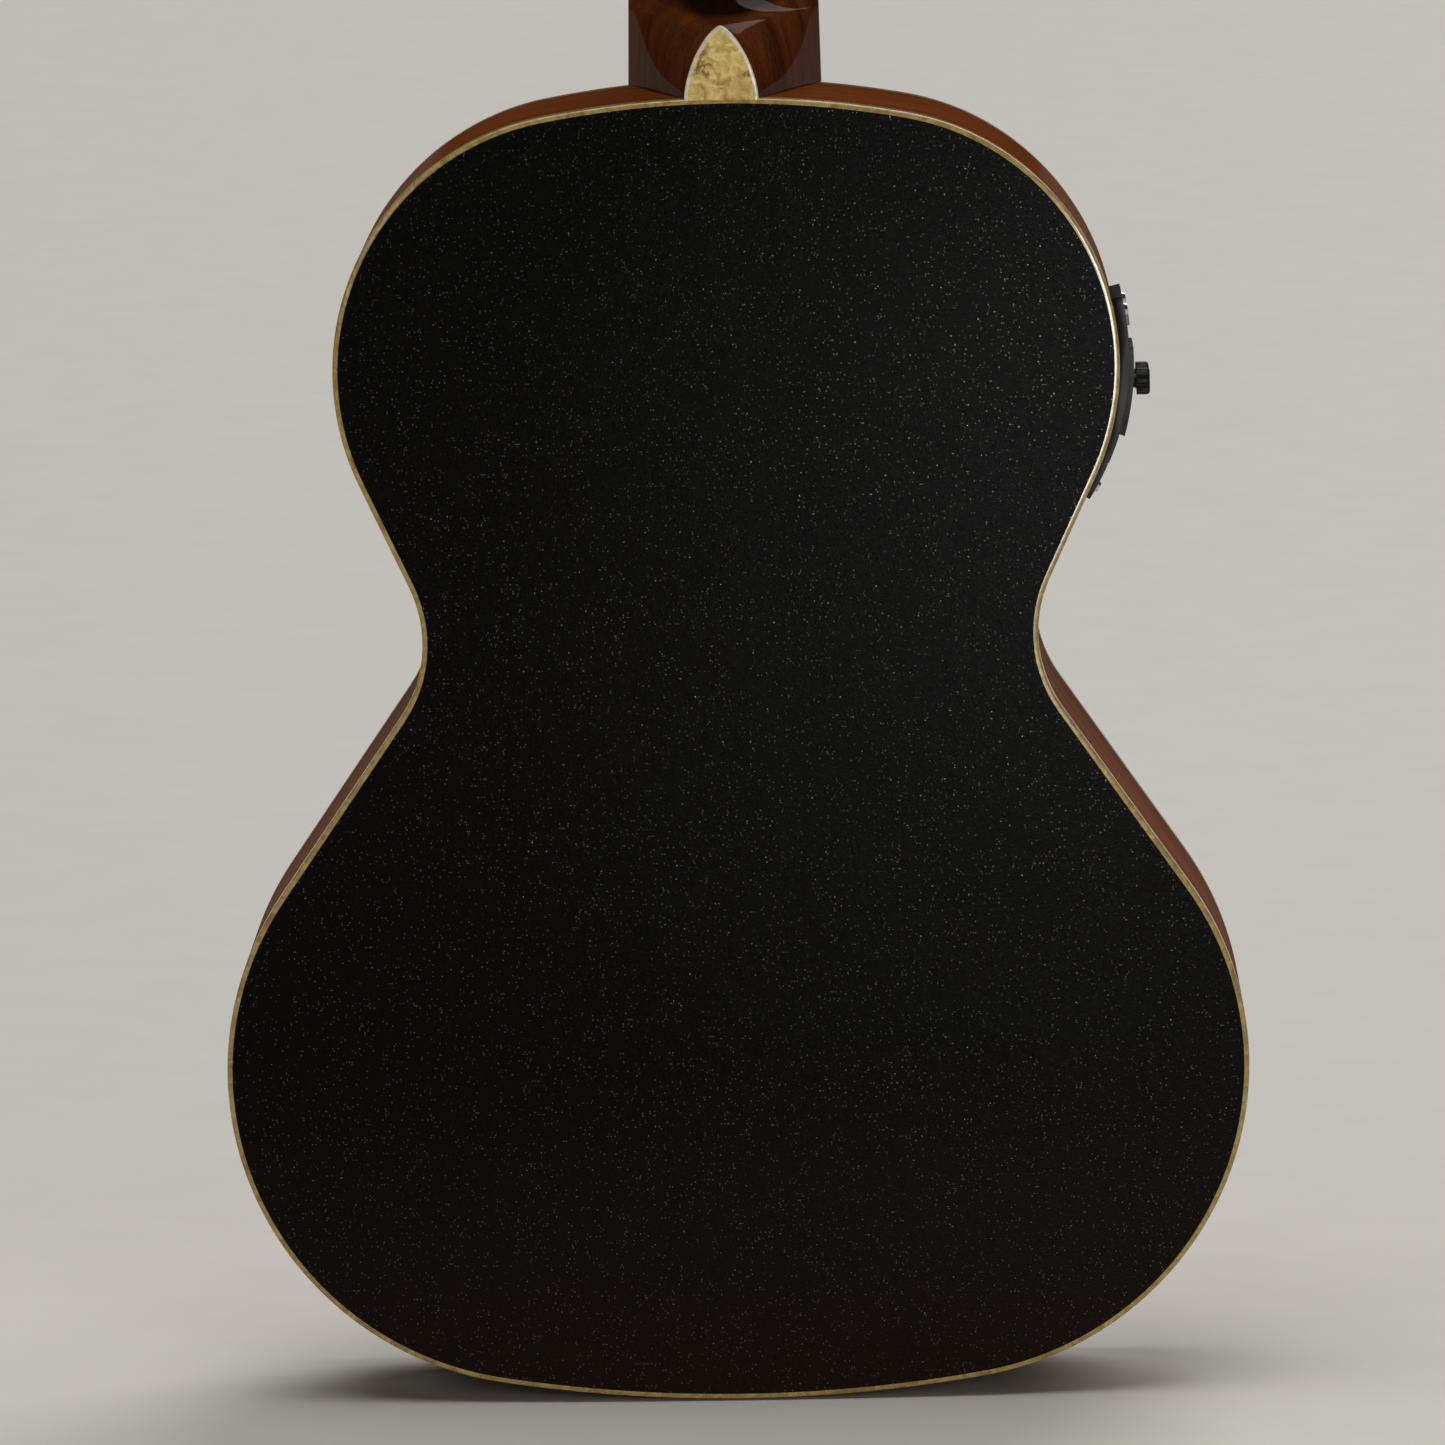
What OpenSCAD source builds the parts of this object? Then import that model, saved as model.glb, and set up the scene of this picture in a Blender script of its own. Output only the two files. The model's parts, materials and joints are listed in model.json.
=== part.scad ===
// Small-bodied acoustic-electric guitar, as an assembly of its separate pieces.
// Frame: +Z up the neck, +X to the treble side, -Y out of the soundboard. The origin is on the
// centreline, where the scale starts at the nut, in the plane of the soundboard's outer face.

/* [Scale and neck] */
// Open string length, from nut to saddle
scale_length = 584; // [580:1:590]
// Width of the neck at the nut
nut_w = 45; // [43:0.5:47]
// Width of the neck where it meets the body, at the 14th fret
joint_w = 57; // [55:0.5:59]
// Thickness of the fretboard at its centre
fretboard_t = 5.5; // [5:0.5:6]
// Number of frets
fret_count = 19; // [18:1:19]
// How far the headstock leans back
head_angle = 14; // [12:1:15]

/* [Body outline] */
// Length of the body, from neck joint to tail
body_length = 381.8; // [381:0.2:383]
// Radius of the upper bout
upper_r = 74.8; // [74.4:0.1:75.2]
// Centre of the upper bout, out from the centreline
upper_out = 39.5; // [39:0.1:40]
// Centre of the upper bout, down from the neck joint
upper_down = 78.5; // [78.1:0.1:78.9]
// Radius of the hollow at the waist
waist_r = 38.6; // [38:0.1:39.2]
// Centre of the waist's hollow, out from the centreline
waist_out = 128.1; // [127.5:0.1:128.5]
// Centre of the waist's hollow, down from the neck joint
waist_down = 156.4; // [156:0.1:157]
// Radius of the lower bout
lower_r = 93.2; // [92.8:0.1:93.6]
// Centre of the lower bout, out from the centreline
lower_out = 56.2; // [56:0.1:56.6]
// Centre of the lower bout, down from the neck joint
lower_down = 284.1; // [283.5:0.1:284.7]

/* [Body depth] */
// Depth of the body at the highest point of the arched back
body_depth = 88; // [84:1:92]
// Radius of the arched back
arch_r = 1500; // [1300:50:2000]
// How far down from the neck joint the arch is highest
arch_down = 215; // [195:5:235]

/* [Plates and rims] */
// Thickness of the soundboard
top_t = 2.8; // [2.5:0.1:3.2]
// Thickness of the laminated back
back_t = 3; // [2.5:0.1:3.5]
// Thickness of the bent sides
side_t = 2.6; // [2.4:0.1:3]
// Width of the binding, seen from the front or back
binding_w = 1.5; // [1.4:0.1:1.8]
// Height of the binding, seen from the side
binding_h = 6; // [5:0.5:7]
// Width of the linings
lining_w = 5; // [4:0.5:6]
// Height of the linings
lining_h = 12; // [10:1:14]
// Radius of the sound hole
hole_r = 43; // [41:0.5:44]

/* [Preamp] */
// Diameter of the two control knobs
knob_d = 8; // [7.6:0.2:8.6]
// How far the knobs stand out of the panel
knob_h = 4.6; // [4.2:0.2:5.4]

/* [Hidden] */
$fn = 48;

fit = 0.05;                    // running clearance of a shaft in its hole
gap = 0.2;                     // clearance round a piece that sits in a pocket
strings_n = 6;

// ---- where things lie along the centreline
function fret_z(n) = -scale_length * (1 - pow(2, -n / 12));
body_top = fret_z(14);
body_end = body_top - body_length;
saddle_z = -scale_length - 1.5;
hole_z = -443;
hole_seg = 96;
fretboard_end = -396;
nut_t = 5;

// ---- body outline: five tangent arcs a side, joined by two straight stretches
upper = [upper_out, body_top - upper_down];
waist = [waist_out, body_top - waist_down];
lower = [lower_out, body_top - lower_down];
// radius of an end arc that is tangent to a bout and square to the centreline
function end_arc_r(x, t, r) = (x * x + t * t - r * r) / (2 * (t - r));
top_arc_r = end_arc_r(upper_out, upper_down, upper_r);
tail_arc_r = end_arc_r(lower_out, body_length - lower_down, lower_r);
function heading(v) = atan2(v[1], v[0]);
shoulder_a = heading(upper - [0, body_top - top_arc_r]);
hip_a = heading(lower - [0, body_end + tail_arc_r]);
upper_leg_a = heading(waist - upper) + acos((upper_r + waist_r) / norm(waist - upper));
lower_leg_a = heading(waist - lower) - acos((lower_r + waist_r) / norm(waist - lower));
function arc_pts(c, r, from, to, n) =
    [for (i = [0:n]) c + r * [cos(from + (to - from) * i / n), sin(from + (to - from) * i / n)]];
// treble half of the outline, moved in by d, from the neck joint to the tail
function half_outline(d) = concat(
    arc_pts([0, body_top - top_arc_r], top_arc_r - d, 90, shoulder_a, 5),
    arc_pts(upper, upper_r - d, shoulder_a - 2, upper_leg_a, 18),
    arc_pts(waist, waist_r + d, 180 + upper_leg_a, 180 + lower_leg_a, 10),
    arc_pts(lower, lower_r - d, lower_leg_a, hip_a + 2, 20),
    arc_pts([0, body_end + tail_arc_r], tail_arc_r - d, hip_a, -90, 5));
function mirrored(pts) = [for (i = [len(pts) - 1:-1:0]) [-pts[i][0], pts[i][1]]];
function turned(pts) = [for (i = [len(pts) - 1:-1:0]) pts[i]];
// the first and last points lie on the centreline, so the mirrored half leaves them out
function inner_points(pts) = [for (i = [1:len(pts) - 2]) pts[i]];

module outline(d = 0) {
    half = half_outline(d);
    polygon(concat(half, mirrored(inner_points(half))));
}
module ring(d0, d1) {
    difference() {
        outline(d0);
        outline(d1);
    }
}
module half_ring(d0, d1) {
    polygon(concat(half_outline(d0), turned(half_outline(d1))));
}
// a flat shape drawn in X and Z, as a plate between two depths
module plate(y0, y1) {
    translate([0, y1, 0])
    rotate([90, 0, 0])
    linear_extrude(y1 - y0)
    children();
}
module bar(x0, x1, y0, y1, z0, z1) {
    translate([x0, y0, z0])
    cube([x1 - x0, y1 - y0, z1 - z0]);
}
// everything inside the arched back, moved in by d
module under_arch(d) {
    translate([0, body_depth - arch_r, body_top - arch_down])
    sphere(arch_r - d, $fn = 240);
}
function arch_y(x, z) = body_depth - arch_r
    + sqrt(arch_r * arch_r - x * x - pow(z - body_top + arch_down, 2));
deep = body_depth + 5;         // past the back, for cutting

// ---- strings: gauges and where each one lies, from 1 (treble) to 6 (bass)
gauges = [0.30, 0.41, 0.66, 0.86, 1.12, 1.40];
function spread(n, total) = total / 2 - (n - 1) * total / (strings_n - 1);
nut_spread = 36;
saddle_spread = 52;
board_r = 406;                 // radius of the fretboard's crown
function board_drop(x) = x * x / (2 * board_r);
fret_h = 1;
nut_string_y = fretboard_t + fret_h + 0.9;
saddle_string_y = 11.6;
bridge_h = 8;
pin_z = saddle_z - 13;
pin_hole_r = 2.6;
pin_slot_z = 1.7;              // how far in front of its pin a string goes down

// ==== body shell
module soundboard() color("burlywood")
    difference() {
        plate(0, top_t) outline(binding_w);
        plate(-1, top_t + 1) translate([0, hole_z]) circle(hole_r, $fn = hole_seg);
        plate(-1, rosette_t) rosette_shape();
        pin_holes();
        saddle_lead_hole();
    }
rosette_t = 1;
rosette_in = hole_r + 5;
rosette_out = hole_r + 12;
module rosette_shape() {
    translate([0, hole_z])
    difference() {
        circle(rosette_out, $fn = hole_seg);
        circle(rosette_in, $fn = hole_seg);
    }
}
module rosette() color("khaki")
    difference() {
        plate(0, rosette_t) rosette_shape();
        bar(-joint_w, joint_w, -1, deep, fretboard_end, fretboard_end + 60);
    }
module pin_holes() {
    for (n = [1:strings_n])
        translate([spread(n, saddle_spread), deep / 2, pin_z])
        rotate([90, 0, 0])
        cylinder(r = pin_hole_r, h = deep);
}
module side_half() {
    intersection() {
        plate(binding_h, deep) half_ring(0, side_t);
        under_arch(binding_h);
    }
    intersection() {
        plate(top_t, deep) half_ring(binding_w, side_t);
        under_arch(back_t);
    }
}
module treble_side() color("saddlebrown")
    difference() {
        side_half();
        jack_axis() cylinder(r = jack_r + gap, h = 4 * side_t, center = true);
        bolt_shanks(fit);
    }
module bass_side() color("saddlebrown")
    difference() {
        mirror([1, 0, 0]) side_half();
        box_space(gap);
        bolt_shanks(fit);
    }
module back_plate() color("#101010")
    difference() {
        intersection() {
            plate(body_depth / 2, deep) outline(binding_w);
            under_arch(0);
        }
        under_arch(back_t);
    }
module front_binding() color("khaki")
    plate(0, binding_h) ring(0, binding_w);
module back_binding() color("khaki")
    difference() {
        intersection() {
            plate(body_depth / 2, deep) ring(0, binding_w);
            under_arch(0);
        }
        under_arch(binding_h);
    }

// ==== inside the body
block_w = 60;
neck_block_t = 42;
tail_block_t = 20;
module neck_block_box(g = 0)
    bar(-block_w / 2 - g, block_w / 2 + g, top_t, deep, body_top - neck_block_t - g, body_top);
module tail_block_box(g = 0)
    bar(-block_w / 2 - g, block_w / 2 + g, top_t, deep, body_end, body_end + tail_block_t + g);
module neck_block() color("peru")
    difference() {
        intersection() {
            neck_block_box();
            plate(top_t, deep) outline(side_t);
            under_arch(back_t);
        }
        bolt_shanks(fit);
    }
module tail_block() color("peru")
    intersection() {
        tail_block_box();
        plate(top_t, deep) outline(side_t);
        under_arch(back_t);
    }
module linings() color("tan") {
    lining_in = side_t + lining_w;
    difference() {
        plate(top_t, top_t + lining_h) ring(side_t, lining_in);
        neck_block_box(gap);
        tail_block_box(gap);
    }
    difference() {
        intersection() {
            plate(body_depth / 2, deep) ring(side_t, lining_in);
            under_arch(back_t);
        }
        under_arch(back_t + lining_h);
        neck_block_box(gap);
        tail_block_box(gap);
    }
}
// soundboard bracing
inside_linings = side_t + lining_w + 0.4;
brace_w = 7;
brace_h = 13;
x_cross_z = -502;
x_lean = 44;                   // angle of each leg of the X from the centreline
module x_bar(grow = 0) {
    translate([0, top_t, x_cross_z])
    rotate([0, x_lean, 0])
    translate([-brace_w / 2 - grow, 0, -230])
    cube([brace_w + 2 * grow, brace_h, 320]);
}
module in_shell() {
    intersection() {
        children();
        plate(top_t, deep) outline(inside_linings);
    }
}
module clear_of_hole() {
    difference() {
        children();
        neck_block_box(1);
        bar(-200, 200, -1, deep, transverse_z - brace_w, body_top);
    }
}
module x_brace_bass() color("wheat")
    difference() {
        clear_of_hole() in_shell() x_bar();
        mirror([1, 0, 0]) lap(0);
    }
module x_brace_treble() color("wheat")
    difference() {
        clear_of_hole() in_shell() mirror([1, 0, 0]) x_bar();
        lap(1);
    }
// half of the X's crossing, which the other bar is notched for: the lower half, or the upper
module lap(upper_half) {
    translate([0, top_t - 1 + upper_half * (1 + brace_h / 2), x_cross_z])
    rotate([0, x_lean, 0])
    translate([-brace_w / 2, 0, -brace_w * 2])
    cube([brace_w, 1 + brace_h / 2, brace_w * 4]);
}
transverse_z = -389;
module soundboard_braces() color("wheat") {
    in_shell() bar(-150, 150, top_t, top_t + 14, transverse_z - 4, transverse_z + 4);
    for (s = [-1, 1]) {
        // a short brace beside the sound hole
        in_shell() bar(s > 0 ? 49 : -55, s > 0 ? 55 : -49, top_t, top_t + 6, -438, transverse_z - 6);
        // finger braces, from the X out to the lining
        for (z = [-548, -592])
            off_the_x()
            in_shell()
            translate([s * 50, top_t, z + 26])
            rotate([0, s * 60, 0])
            bar(-3, 3, 0, 7, 18, 120);
    }
    // tone bars below the bridge
    for (z = [-640, -664])
        off_the_x()
        in_shell()
        translate([0, top_t, z])
        rotate([0, 68, 0])
        bar(-3.5, 3.5, 0, 9, -70, 62);
}
module off_the_x() {
    difference() {
        children();
        x_bar(0.3);
        mirror([1, 0, 0]) x_bar(0.3);
    }
}
module bridge_plate() color("wheat")
    difference() {
        plate(top_t, top_t + 2.5)
        polygon([[-62, -574], [62, -574], [72, -612], [-72, -612]]);
        pin_holes();
        saddle_lead_hole();
        x_bar(0.3);
        mirror([1, 0, 0]) x_bar(0.3);
    }
module back_braces() color("wheat")
    for (t = [92, 178, 282])
        difference() {
            intersection() {
                bar(-150, 150, body_depth / 2, deep, body_top - t - 4.5, body_top - t + 4.5);
                plate(top_t, deep) outline(inside_linings);
                under_arch(back_t);
            }
            under_arch(back_t + 12);
        }

// ==== neck
neck_seg = 11;                 // steps round each half of the neck's section
shaft_t = 14.5;                // wood under the fretboard at the nut
shaft_swell = 2.5;             // how much deeper the neck is at the body
cap_l = 23;                    // length of the heel cap
cap_half_w = 10.8;
cap_t = 2.5;
cap_y = arch_y(0, body_top);
heel_sweep = 42;               // length of the hollow curve from shaft to heel cap
cap_tip_z = body_top + cap_l;
function neck_half_w(z) = nut_w / 2 + (joint_w - nut_w) / 2 * z / body_top;
function shaft_depth(z) = shaft_t + shaft_swell * max(0, z / body_top);
function cap_edge(z) = z >= cap_tip_z ? 0
    : cap_half_w * pow(1 - pow(max(0, 1 - (cap_tip_z - z) / cap_l), 1.6), 0.6);
function sweep_share(z) = min(1, max(0, (cap_tip_z + heel_sweep - z) / heel_sweep));
function neck_depth(z) = let (d = shaft_depth(z), s = sweep_share(z))
    d + (cap_y - cap_t - d) * (1 - sqrt(1 - pow(s, 2.2)));
// section of the neck: round under the shaft, straight cheeks at the heel
function neck_section(z) =
    let (w = neck_half_w(z), d = neck_depth(z), c = max(0.4, cap_edge(z)), k = pow(sweep_share(z), 0.7))
    let (right = [for (i = [0:neck_seg])
        let (a = 90 * i / neck_seg, v = sin(a))
        [c + (w - c) * ((1 - k) * pow(cos(a), 0.9) + k * pow(1 - v, 0.85)), d * v]])
    concat(right, [for (i = [neck_seg:-1:0]) [-right[i][0], right[i][1]]]);
shaft_steps = 8;
sweep_steps = 16;
cap_steps = 9;
function neck_stations() = concat(
    [for (i = [0:shaft_steps]) nut_t + (cap_tip_z + heel_sweep - nut_t) * i / shaft_steps],
    [for (i = [1:sweep_steps]) cap_tip_z + heel_sweep * (1 - sin(90 * i / sweep_steps))],
    [for (i = [1:cap_steps]) cap_tip_z - (cap_l + 3) * pow(i / cap_steps, 1.7)]);
// skin over a list of rings of equal length, each drawn clockwise about the way the list runs
module skin(rings) {
    m = len(rings[0]);
    n = len(rings);
    polyhedron(
        points = [for (r = rings) each r],
        faces = concat(
            [[for (j = [m - 1:-1:0]) j]],
            [for (i = [0:n - 2], j = [0:m - 1])
                [i * m + j, i * m + (j + 1) % m, (i + 1) * m + (j + 1) % m, (i + 1) * m + j]],
            [[for (j = [0:m - 1]) (n - 1) * m + j]]));
}
truss_r = 3;
truss_y = 6.5;
truss_end = body_top + 3;
rod_tip = nut_t + 8;
rod_nut_z = nut_t + 2;
module truss_channel(z0, z1)
    bar(-truss_r - 0.2, truss_r + 0.2, -1, truss_y + truss_r + 0.2, z0, z1);
module bolt_shanks(g = 0) {
    for (y = [24, 52])
        translate([0, y, body_top - neck_block_t - 1])
        cylinder(r = 3 + g, h = neck_block_t + 19);
}
module neck() color("#3b2014")
    difference() {
        skin([for (z = neck_stations()) [for (p = neck_section(z)) [p[0], p[1], z]]]);
        plate(-1, deep) outline(0);
        truss_channel(body_top - 5, nut_t + 1);
        bolt_shanks(fit);
    }
module heel_cap() color("khaki")
    difference() {
        plate(cap_y - cap_t, cap_y)
        polygon(concat(
            [for (i = [0:cap_steps]) let (z = cap_tip_z - (cap_l + 3) * pow(i / cap_steps, 1.7))
                [max(0.4, cap_edge(z)), z]],
            [for (i = [cap_steps:-1:0]) let (z = cap_tip_z - (cap_l + 3) * pow(i / cap_steps, 1.7))
                [-max(0.4, cap_edge(z)), z]]));
        plate(-1, deep + 5) outline(0);
    }
module neck_bolts() color("silver") {
    bolt_shanks();
    for (y = [24, 52])
        translate([0, y, body_top - neck_block_t - 6])
        cylinder(r = 5.5, h = 5, $fn = 6);
}
// fretboard and frets
fret_w = 2;
tang_w = 0.6;
function board_half_w(z) = neck_half_w(z);
module board_crown(h) {
    translate([0, board_r - h, fretboard_end - 5])
    cylinder(r = board_r, h = 420, $fn = 360);
}
module board_shape(grow = 0) {
    polygon([[-board_half_w(0) - grow, 0], [board_half_w(0) + grow, 0],
        [board_half_w(fretboard_end) + grow, fretboard_end],
        [-board_half_w(fretboard_end) - grow, fretboard_end]]);
}
module fret_slots(y0) {
    for (n = [1:fret_count])
        bar(-40, 40, y0, 0, fret_z(n) - tang_w / 2, fret_z(n) + tang_w / 2);
}
dot_frets = [3, 5, 7, 9, 12, 15, 17];
module dot_cylinders() {
    for (n = dot_frets)
        for (x = n == 12 ? [-9, 9] : [0])
            translate([x, 0, (fret_z(n) + fret_z(n - 1)) / 2])
            rotate([90, 0, 0])
            translate([0, 0, fretboard_t - 2])
            cylinder(r = 3, h = 3);
}
module fretboard() color("#2a1a12")
    difference() {
        intersection() {
            plate(-fretboard_t, 0) board_shape();
            board_crown(fretboard_t);
        }
        difference() {
            fret_slots(-8);
            bar(-40, 40, -fretboard_t + 2, 1, fretboard_end, 1);
        }
        dot_cylinders();
    }
module fret_dots() color("khaki")
    intersection() {
        dot_cylinders();
        board_crown(fretboard_t);
    }
module frets() color("silver")
    for (n = [1:fret_count]) {
        difference() {
            intersection() {
                bar(-40, 40, -fretboard_t - 3, 0, fret_z(n) - fret_w / 2, fret_z(n) + fret_w / 2);
                plate(-20, 20) board_shape();
                board_crown(fretboard_t + fret_h);
            }
            board_crown(fretboard_t);
        }
        intersection() {
            bar(-40, 40, -20, -fretboard_t + 2, fret_z(n) - tang_w / 2, fret_z(n) + tang_w / 2);
            plate(-20, 20) board_shape(-1);
            board_crown(fretboard_t);
        }
    }
nut_top = fretboard_t + 3.2;
module nut() color("ivory")
    difference() {
        intersection() {
            bar(-nut_w / 2, nut_w / 2, -nut_top, 0, 0, nut_t);
            board_crown(nut_top);
        }
        for (n = [1:strings_n])
            let (x = spread(n, nut_spread), r = gauges[n - 1] / 2 + 0.06)
            bar(x - r, x + r, -20, -nut_string_y + board_drop(x) + 0.06, -1, nut_t + 1);
    }

// ==== headstock, in its own leaning frame: its wood starts at y = 0 and its length runs up z
module on_head() {
    translate([0, 0, nut_t])
    rotate([-head_angle, 0, 0])
    children();
}
head_t = 13;
overlay_t = 2;
head_top = 142;
head_sides = [[22.5, 0], [22.9, 5], [24.4, 10], [27.4, 14.5], [30.7, 18.5], [32.6, 23], [33, 28],
    [32.6, 50], [31.6, 80], [30.5, 110], [30, 124]];
crown_r = 60;                  // arc over the top of the headstock
function head_outline() = let (
    corner = arc_pts([24, 126], 6, 0, 66, 5),
    crown = arc_pts([0, head_top - crown_r], crown_r, 66, 90, 6),
    half = concat(head_sides, corner, [for (i = [0:5]) crown[i]]))
    concat(half, [[0, head_top]], mirrored(half));
post_x = 21.5;
post_rows = [32, 70, 108];
// post n sits on the treble side for strings 1 to 3, the bass side for 4 to 6
function post_side(n) = n <= 3 ? 1 : -1;
bushing_r = 4.6;
post_r = 3;
module post_bores(r) {
    for (n = [1:strings_n])
        translate([post_side(n) * post_x, 40, string_row(n)])
        rotate([90, 0, 0])
        cylinder(r = r, h = 80);
}
// strings 1 and 6 go to the posts nearest the nut
function string_row(n) = post_rows[n <= 3 ? n - 1 : 6 - n];
module rod_pocket() {
    bar(-5.2, 5.2, -8, truss_y + 4.8, nut_t - 1, 27);
}
module headstock() color("#3b2014")
    difference() {
        union() {
            on_head() plate(0, head_t) polygon(head_outline());
            hull() {
                translate([0, 0, nut_t])
                linear_extrude(0.1)
                polygon(neck_section(nut_t));
                on_head() bar(-22.5, 22.5, 0.1, head_t, 24, 24.1);
            }
        }
        on_head() bar(-60, 60, -20, 0, -20, head_top);
        on_head() post_bores(bushing_r + fit);
        rod_pocket();
        bar(-60, 60, -10, 60, -20, nut_t);
    }
module headstock_overlay() color("#141414")
    difference() {
        on_head() plate(-overlay_t, 0) polygon(head_outline());
        on_head() post_bores(bushing_r + fit);
        rod_pocket();
        bar(-60, 60, -30, 60, -20, nut_t);
    }
cover_t = 1.6;
cover_shape = [[0, 37], [3, 36], [5.5, 32], [7.5, 25], [10, 17], [11.5, 10], [11.5, 5]];
module truss_rod_cover() color("#181818")
    on_head()
    difference() {
        plate(-overlay_t - cover_t, -overlay_t)
        polygon(concat(cover_shape, mirrored([for (i = [1:len(cover_shape) - 1]) cover_shape[i]])));
        for (p = cover_screws)
            translate([p[0], 0, p[1]])
            rotate([90, 0, 0])
            cylinder(r = 1.2, h = 10);
    }
cover_screws = [[0, 33], [0, 7.5]];
module truss_rod() color("silver")
    translate([0, truss_y, truss_end])
    cylinder(r = truss_r, h = rod_tip - truss_end);
module truss_rod_nut() color("goldenrod")
    translate([0, truss_y, rod_nut_z])
    difference() {
        cylinder(r = 4, h = 14);
        translate([0, 0, -1])
        cylinder(r = truss_r + fit, h = rod_tip - rod_nut_z + 1.3);
        translate([0, 0, 8])
        cylinder(r = 2.4, h = 10, $fn = 6);
    }

// ==== tuning machines, open backed, three on a plate
plate_t = 1.2;
gear_teeth = 14;
pitch = 2.244;                 // one tooth of the gear, one turn of the worm
gear_r = gear_teeth * pitch / (2 * PI);
tooth_h = 0.65;
worm_r = 2;
centre_d = gear_r + worm_r;
gear_y = head_t + plate_t + 3; // middle of the gear and the worm, in the headstock's frame
gear_t = 2.5;
ear_in = 6.1;                  // centre of the inner ear, from the post
ear_t = 2;
worm_half = 3.9;
shaft_end = 21;
module ears_and_plate(side) {
    difference() {
        union() {
            plate(head_t, head_t + plate_t)
            translate([side * (post_x + 0.5), 0])
            polygon(slot_pts(post_rows[2] + 9, post_rows[0] - 17, 7.6));
            for (z = post_rows, e = [-1, 1])
                bar(side * post_x + e * ear_in - ear_t / 2, side * post_x + e * ear_in + ear_t / 2,
                    head_t, gear_y + 3.2, z - centre_d - 3, z - centre_d + 3);
        }
        post_bores(post_r + fit);
        for (z = post_rows)
            translate([side * post_x, gear_y, z - centre_d])
            rotate([0, 90, 0])
            cylinder(r = worm_r + fit, h = 30, center = true);
        plate_screw_holes();
    }
}
// upright slot with round ends: top, bottom and half width
function slot_pts(top, bottom, r) = concat(
    arc_pts([0, top - r], r, 0, 180, 10),
    arc_pts([0, bottom + r], r, 180, 360, 10));
plate_screw_rows = [post_rows[0] - 13, post_rows[0] + 14, post_rows[1] + 14];
module plate_screw_holes() {
    for (side = [-1, 1], z = plate_screw_rows)
        translate([side * (post_x + 0.5), 60, z])
        rotate([90, 0, 0])
        cylinder(r = 1.2, h = 60);
}
module tuner_plate_bass() color("silver") on_head() ears_and_plate(-1);
module tuner_plate_treble() color("silver") on_head() ears_and_plate(1);
module tuner_bushings() color("silver")
    on_head()
    for (n = [1:strings_n])
        translate([post_side(n) * post_x, 0, string_row(n)])
        rotate([90, 0, 0])
        difference() {
            union() {
                translate([0, 0, -6]) cylinder(r = bushing_r, h = 6 + overlay_t);
                translate([0, 0, overlay_t]) cylinder(r = 6.2, h = 1.2);
            }
            translate([0, 0, -10]) cylinder(r = post_r + fit, h = 20);
        }
// gear and post, turning about y; the gear's first gap faces the worm
module gear_shape() {
    a = 360 / gear_teeth;
    root = gear_r - tooth_h - 0.1;
    tip = gear_r + tooth_h;
    half_root = 0.52 / root * 180 / PI;
    half_tip = 0.24 / tip * 180 / PI;
    polygon([for (i = [0:gear_teeth - 1])
        each let (m = -90 + a * (i + 0.5)) [
            root * [cos(m - half_root), sin(m - half_root)],
            tip * [cos(m - half_tip), sin(m - half_tip)],
            tip * [cos(m + half_tip), sin(m + half_tip)],
            root * [cos(m + half_root), sin(m + half_root)]]]);
}
post_top = 21;                 // how far the post stands out of the headstock's wood
wrap_y = 13;                   // height of the string's turns
waist_from = 8;                // narrow stretch of the post that the string winds on
waist_to = 18;
post_waist_r = 2.4;
wrap_r = 2.8;                  // inside of the turns
module tuner_post(n) color("silver")
    on_head()
    translate([post_side(n) * post_x, 0, string_row(n)]) {
        difference() {
            union() {
                plate(gear_y - gear_t / 2, gear_y + gear_t / 2) gear_shape();
                translate([0, gear_y + gear_t / 2 + 1.1, 0])
                rotate([90, 0, 0])
                cylinder(r = 2.3, h = 2);
                translate([0, gear_y, 0])
                rotate([90, 0, 0])
                cylinder(r = post_r, h = gear_y + waist_from);
                translate([0, 1 - waist_from, 0])
                rotate([90, 0, 0])
                cylinder(r = post_waist_r, h = post_top - waist_from);
                translate([0, -waist_to, 0])
                rotate([90, 0, 0])
                cylinder(r = post_r, h = post_top - waist_to);
            }
            // cross hole for the string, and the gear screw's slot
            translate([0, -wrap_y - 3.5, 0])
            rotate([0, 90, 0])
            cylinder(r = 0.9, h = 20, center = true);
            bar(-3, 3, gear_y + gear_t / 2 + 0.5, gear_y + 9, -0.4, 0.4);
        }
    }
// worm: a ridge that climbs one pitch a turn, drawn as rings along the shaft
worm_rings = 30;
worm_seg = 14;
function ridge(u) = let (d = abs(u - floor(u) - 0.5) * pitch)
    worm_r - tooth_h - 0.1 + (2 * tooth_h + 0.1) * min(1, max(0, (0.52 - d) / 0.28));
module worm(hand) {
    rotate([0, 90, 0])
    skin([for (i = [0:worm_rings])
        let (s = -worm_half + 2 * worm_half * i / worm_rings)
        [for (j = [0:worm_seg - 1])
            let (a = -360 * j / worm_seg)
            let (r = ridge(0.5 + s / pitch + hand * (a + 180) / 360))
            [r * cos(a), r * sin(a), s]]]);
}
module tuner_knob(n) color("silver")
    on_head()
    translate([post_side(n) * post_x, gear_y, string_row(n) - centre_d])
    mirror([post_side(n) > 0 ? 0 : 1, 0, 0]) {
        worm(1);
        translate([-ear_in - 1.6, 0, 0])
        rotate([0, 90, 0])
        cylinder(r = worm_r, h = ear_in + 1.6 - worm_half);
        translate([worm_half, 0, 0])
        rotate([0, 90, 0])
        cylinder(r = worm_r, h = shaft_end - worm_half);
        plate(-3.2, 3.2)
        translate([shaft_end + 5, 0])
        polygon([for (a = [0:15:345]) [6 * cos(a), 8.6 * sin(a)]]);
    }

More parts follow.
